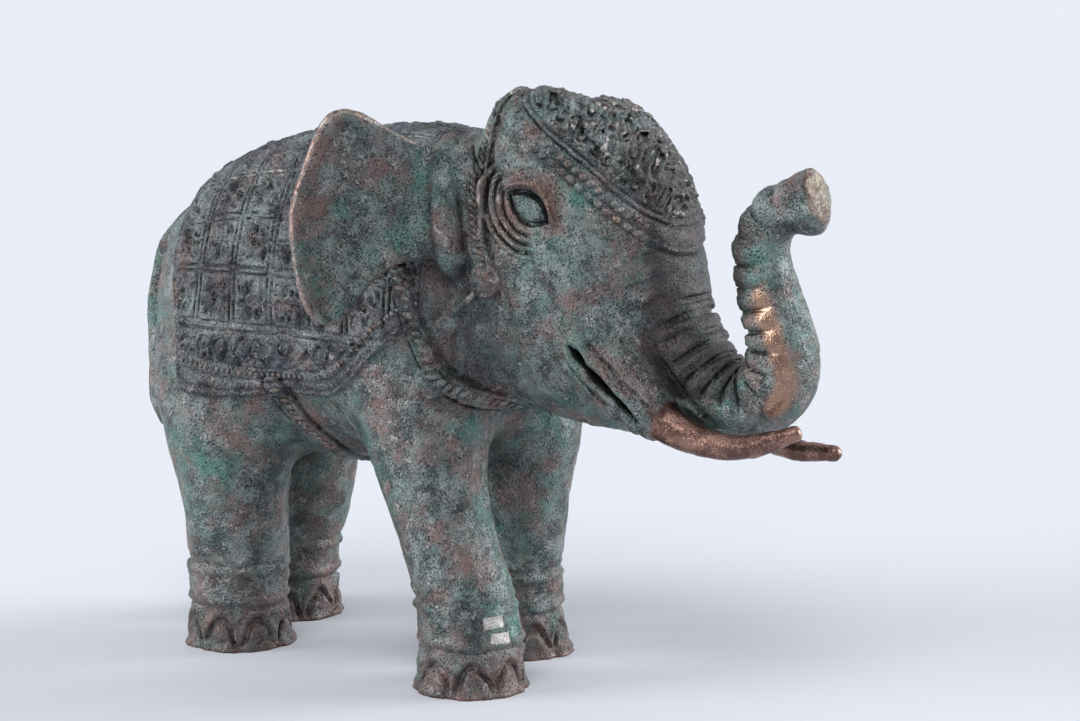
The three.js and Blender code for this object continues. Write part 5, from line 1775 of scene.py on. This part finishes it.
@dataclass(frozen=True)
class Patina:
    """The finish of the casting: old patina, rubbed through to copper and gold where it is touched, with painted
    shade and painted highlights.
    """

    speckled: Group
    wear: Group
    placing: Placing
    metals: Metals = Metals()
    roughness: float = 0.38
    bare_roughness: float = 0.27
    grain_depth: float = 0.0006
    metal: float = 0.35
    # the two flats that carry a painted highlight
    highlight_flats: tuple[HighlightFlat, ...] = (
        HighlightFlat((-24.6, -52.1, 18.6), (0.919, -0.393, 0.06), 2.8, 1.5),
        HighlightFlat((-23.2, -53.3, 14.5), (0.970, -0.243, -0.08), 2.8, 1.3),
    )

    def material(self) -> bpy.types.Material:
        """Make the material of the casting, which reads the wear and the painted shade that its vertices hold."""
        material, nodes, shader = self._blank("bronze patina")
        m = self.metals
        blush = nodes.attribute("blush")
        skin = self.speckled.place_in(
            nodes, dark=m.dark, body=m.body, pale=m.pale, green=m.green, brown=m.brown,
            green_share=0.22, brown_share=nodes.math("ADD", blush, 0.26), pale_share=0.4, pit_share=0.6)
        woven = self.speckled.place_in(
            nodes, dark=m.cloth_dark, body=m.cloth, pale=m.pale, green=m.body, brown=m.brown,
            green_share=0.25, brown_share=0.0, pale_share=0.3, pit_share=0.8)
        dressed = nodes.math("MAXIMUM", nodes.attribute("cloth"), nodes.math("MULTIPLY", nodes.attribute("cap"), 0.4))
        colour = nodes.mix(dressed, skin["Colour"], woven["Colour"])
        # painted shade: dark under the ear and down the trunk's front, and darker towards the floor on the feet
        soot = self.wear.place_in(nodes, amount=nodes.attribute("soot"), size=0.22, roughen=1.3, low=0.1, high=0.9)
        colour = nodes.mix(nodes.math("MULTIPLY", soot["Mask"], 0.78), colour, m.soot)
        # painted shade in hollows and creases, deepest in the mouth and the folds
        hollow = nodes.math("MULTIPLY", nodes.rise(nodes.attribute("hollow"), 0.15, 0.75), 0.85)
        deep = nodes.math("MULTIPLY", nodes.rise(nodes.attribute("deep"), 0.35, 0.95), 0.8)
        colour = nodes.mix(nodes.math("MAXIMUM", hollow, deep), colour, m.crevice_shade)
        # rubbed edges turn pale, as wear, with brighter painted glints of highlight in patches
        rubbed = self.wear.place_in(
            nodes, amount=nodes.attribute("edge"), size=0.7, roughen=1.5, low=0.5, high=0.95)
        glints = nodes.rise(nodes.noise(nodes.millimetres(), 0.13, 3, 0.7), 0.5, 0.66)
        share = nodes.math("ADD", nodes.math("MULTIPLY", glints, 0.6), 0.22)
        colour = nodes.mix(nodes.math("MULTIPLY", rubbed["Mask"], share), colour, m.worn_and_glint)
        copper = self.wear.place_in(
            nodes, amount=nodes.attribute("copper"), size=0.45, roughen=0.9, low=0.25, high=0.75)
        tarnish = self.wear.place_in(nodes, amount=nodes.noise(nodes.millimetres(), 0.16, 3, 0.6), size=1.4,
                                     roughen=0.5, low=0.4, high=0.62)
        colour = nodes.mix(copper["Mask"], colour, nodes.mix(tarnish["Mask"], m.copper_dark, m.copper))
        gold = self.wear.place_in(nodes, amount=nodes.attribute("gold"), size=0.35, roughen=0.7, low=0.1, high=0.95)
        colour = nodes.mix(gold["Mask"], colour, nodes.mix(tarnish["Mask"], m.copper, m.gold))
        tip = nodes.math("MULTIPLY", nodes.attribute("tip"), 0.9)
        colour = nodes.mix(tip, colour, nodes.mix(tarnish["Mask"], m.copper_dark, m.filed))
        place = nodes.millimetres()
        # painted highlight: two small flats on the near front anklet are painted pale
        highlight_flats = [flat.mask(nodes, place, self.placing) for flat in self.highlight_flats]
        colour = nodes.mix(nodes.math("MULTIPLY", nodes.math("MAXIMUM", *highlight_flats), 0.78), colour, m.facet_highlight)
        bare = nodes.math("MAXIMUM", nodes.math("MAXIMUM", copper["Mask"], gold["Mask"]),
                          nodes.math("MULTIPLY", rubbed["Mask"], 0.6))
        bare = nodes.math("MULTIPLY", bare, nodes.math("SUBTRACT", 1.0, tip))
        smooth = nodes.math("SUBTRACT", 1.0, nodes.math("MULTIPLY", bare, 0.75))
        self._finish(nodes, shader, colour, bare, nodes.math("MULTIPLY", skin["Height"], smooth))
        return material

    def ornament(self) -> bpy.types.Material:
        """Make the material of beads and strands, which stand out and are rubbed bright."""
        material, nodes, shader = self._blank("rubbed ornament")
        m = self.metals
        skin = self.speckled.place_in(
            nodes, dark=m.cloth_dark, body=m.body, pale=m.pale, green=m.body, brown=m.brown,
            green_share=0.3, brown_share=0.3, pale_share=0.4, pit_share=0.7)
        patches = nodes.noise(nodes.millimetres(), 0.16, 2, 0.6)
        rubbed = self.wear.place_in(nodes, amount=patches, size=1.3, roughen=0.6, low=0.55, high=0.75)
        colour = nodes.mix(nodes.math("MULTIPLY", rubbed["Mask"], 0.7), skin["Colour"], m.gold)
        self._finish(nodes, shader, colour, nodes.math("MULTIPLY", rubbed["Mask"], 0.8), skin["Height"])
        return material

    def _blank(self, name: str) -> tuple[bpy.types.Material, Nodes, bpy.types.Node]:
        """Open a material.

        Args:
            name: The material's name.

        Returns:
            The material, its nodes, and its shader.
        """
        material = bpy.data.materials.new(name)
        material.use_nodes = True
        return material, Nodes(material.node_tree), material.node_tree.nodes["Principled BSDF"]

    def _finish(self, nodes: Nodes, shader: bpy.types.Node, colour: bpy.types.NodeSocket,
                bare: bpy.types.NodeSocket, height: bpy.types.NodeSocket) -> None:
        """Feed the shader its colour, gloss and grain.

        Args:
            nodes: The material's nodes.
            shader: The material's shader.
            colour: The colour over the surface.
            bare: Where the metal is bare.
            height: The height of the grain.
        """
        nodes.feed(shader.inputs["Base Color"], colour)
        nodes.feed(shader.inputs["Metallic"], nodes.math("ADD", nodes.math("MULTIPLY", bare, 0.95 - self.metal), self.metal))
        gloss = nodes.math("SUBTRACT", self.roughness, nodes.math("MULTIPLY", bare, self.roughness - self.bare_roughness))
        nodes.feed(shader.inputs["Roughness"], nodes.math("ADD", gloss, nodes.math("MULTIPLY", height, 0.08)))
        bump = nodes.node("ShaderNodeBump")
        nodes.feed(bump.inputs["Strength"], 0.8)
        nodes.feed(bump.inputs["Distance"], self.grain_depth)
        nodes.feed(bump.inputs["Height"], height)
        nodes.feed(shader.inputs["Normal"], bump.outputs["Normal"])


@dataclass(frozen=True)
class Studio:
    """The pale floor, the soft light and the camera at the photograph's view."""

    placing: Placing
    camera_place: Row = (-522.5, -388.9, 174.2)
    camera_way: Row = (0.8387, 0.5446)
    camera_pitch: float = math.radians(8.62)
    focal_pixels: float = 2535.0
    picture_width: float = 1080.0
    floor_half: float = 40.0
    floor_colour: Colour = (0.645, 0.668, 0.72)
    room: Colour = (0.345, 0.35, 0.365)
    sweep: Colour = (0.66, 0.675, 0.72)
    lamp_spread: float = math.radians(34)

    def build(self) -> None:
        """Make the floor, the lights and the camera."""
        self._floor()
        self._sky()
        ahead = Vector((*self.camera_way, 0))
        right = Vector((ahead.y, -ahead.x, 0))
        up = Vector((0, 0, 1))
        self._lamp("right lamp", right + 0.2 * ahead + 0.33 * up, 2.5)
        self._lamp("left lamp", -right - 0.15 * ahead + 0.33 * up, 2.0)
        self._lamp("front lamp", 1.2 * up - 0.9 * ahead - 0.2 * right, 1.05)
        self._camera()

    def _floor(self) -> None:
        """Make the floor, a large plain sheet under the feet."""
        half = self.floor_half
        mesh = bpy.data.meshes.new("floor")
        mesh.from_pydata([(-half, -half, 0), (half, -half, 0), (half, half, 0), (-half, half, 0)], [], [(0, 1, 2, 3)])
        material = bpy.data.materials.new("floor")
        material.use_nodes = True
        shader = material.node_tree.nodes["Principled BSDF"]
        shader.inputs["Base Color"].default_value = (*self.floor_colour, 1)
        shader.inputs["Roughness"].default_value = 0.7
        mesh.materials.append(material)
        floor = bpy.data.objects.new("floor", mesh)
        bpy.context.scene.collection.objects.link(floor)

    def _sky(self) -> None:
        """Light the scene from all round, dimly from the camera's side and brightly from the sweep behind."""
        world = bpy.data.worlds.new("studio")
        world.use_nodes = True
        nodes = Nodes(world.node_tree)
        facing = nodes.node("ShaderNodeVectorMath", operation="DOT_PRODUCT")
        nodes.feed(facing.inputs[0], nodes.node("ShaderNodeTexCoord").outputs["Generated"])
        facing.inputs[1].default_value = (*self.camera_way, 0.35)
        light = nodes.mix(nodes.rise(facing.outputs["Value"], -0.6, 0.5), self.room, self.sweep)
        nodes.feed(world.node_tree.nodes["Background"].inputs["Color"], light)
        bpy.context.scene.world = world
        bpy.context.scene.view_settings.view_transform = "Standard"

    def _lamp(self, name: str, way: Vector, strength: float) -> None:
        """Hang a large, soft, distant lamp.

        Args:
            name: The lamp's name.
            way: The direction from the object to the lamp.
            strength: Its strength.
        """
        lamp = bpy.data.lights.new(name, "SUN")
        lamp.energy = strength
        lamp.angle = self.lamp_spread
        holder = bpy.data.objects.new(name, lamp)
        holder.rotation_euler = way.to_track_quat("Z", "Y").to_euler()
        bpy.context.scene.collection.objects.link(holder)

    def _camera(self) -> None:
        """Set the camera where the photograph was taken from."""
        camera = bpy.data.cameras.new("camera")
        camera.lens = camera.sensor_width * self.focal_pixels / self.picture_width
        camera.clip_start = 0.01
        camera.clip_end = 200
        holder = bpy.data.objects.new("camera", camera)
        flat = math.cos(self.camera_pitch)
        way = Vector((self.camera_way[0] * flat, self.camera_way[1] * flat, -math.sin(self.camera_pitch)))
        holder.location = self.placing(np.array([self.camera_place]))[0].tolist()
        holder.rotation_euler = way.to_track_quat("-Z", "Y").to_euler()
        bpy.context.scene.collection.objects.link(holder)
        bpy.context.scene.camera = holder


def settle(piece: bpy.types.Object, material: bpy.types.Material | None) -> None:
    """Finish a piece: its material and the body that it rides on.

    Args:
        piece: The piece.
        material: Its finish, or none where it has its own already.
    """
    if material is not None:
        piece.data.materials.clear()
        piece.data.materials.append(material)
    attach(piece, BODY)
    log.info("%s: %d faces", piece.name, len(piece.data.polygons))


def main() -> None:
    """Build the casting, its trims and the studio."""
    logging.basicConfig(level=logging.INFO, format="%(message)s")
    casting = Casting()
    detail = Detail.FINE
    figure, placing = Sculpture(casting, detail).build()
    patina = Patina(speckled_group(), wear_group(), placing)
    settle(figure, patina.material())
    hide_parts(SOLID)

    trims = Trims(casting)
    tree = LumpTree("lumps along a path", patina.ornament())
    rows = (
        (LumpRow("hem_beads", 1.65, 1.5, 1.5, 1.2), trims.hem(casting.cloth.bead_line), casting.dressed_body),
        (LumpRow("cap_border_bosses", 2.4, 2.2, 2.1, 1.7, 0.4, 0.3), trims.cap_border(0.2, 48), trims.skin),
        (LumpRow("cap_border_scallops", 3.0, 2.9, 2.6, 1.8, 0.0, 0.2), trims.cap_border(-2.0, 34), trims.skin),
        (LumpRow("head_strap_strands", 1.7, 4.0, 1.5, 1.2, 0.9), trims.head_strap(), trims.skin),
        (LumpRow("breast_strap_strands", 2.3, 3.8, 1.9, 1.3, 0.9, 0.3), trims.breast_strap(), trims.skin),
        (LumpRow("girth_strands", 2.1, 4.4, 2.0, 1.3, 1.1, 0.35), trims.girth(), trims.skin),
    )
    for row, paths, skin in rows:
        settle(row.build(paths, skin, placing, tree), None)

    Studio(placing).build()


if __name__ == "__main__":
    main()
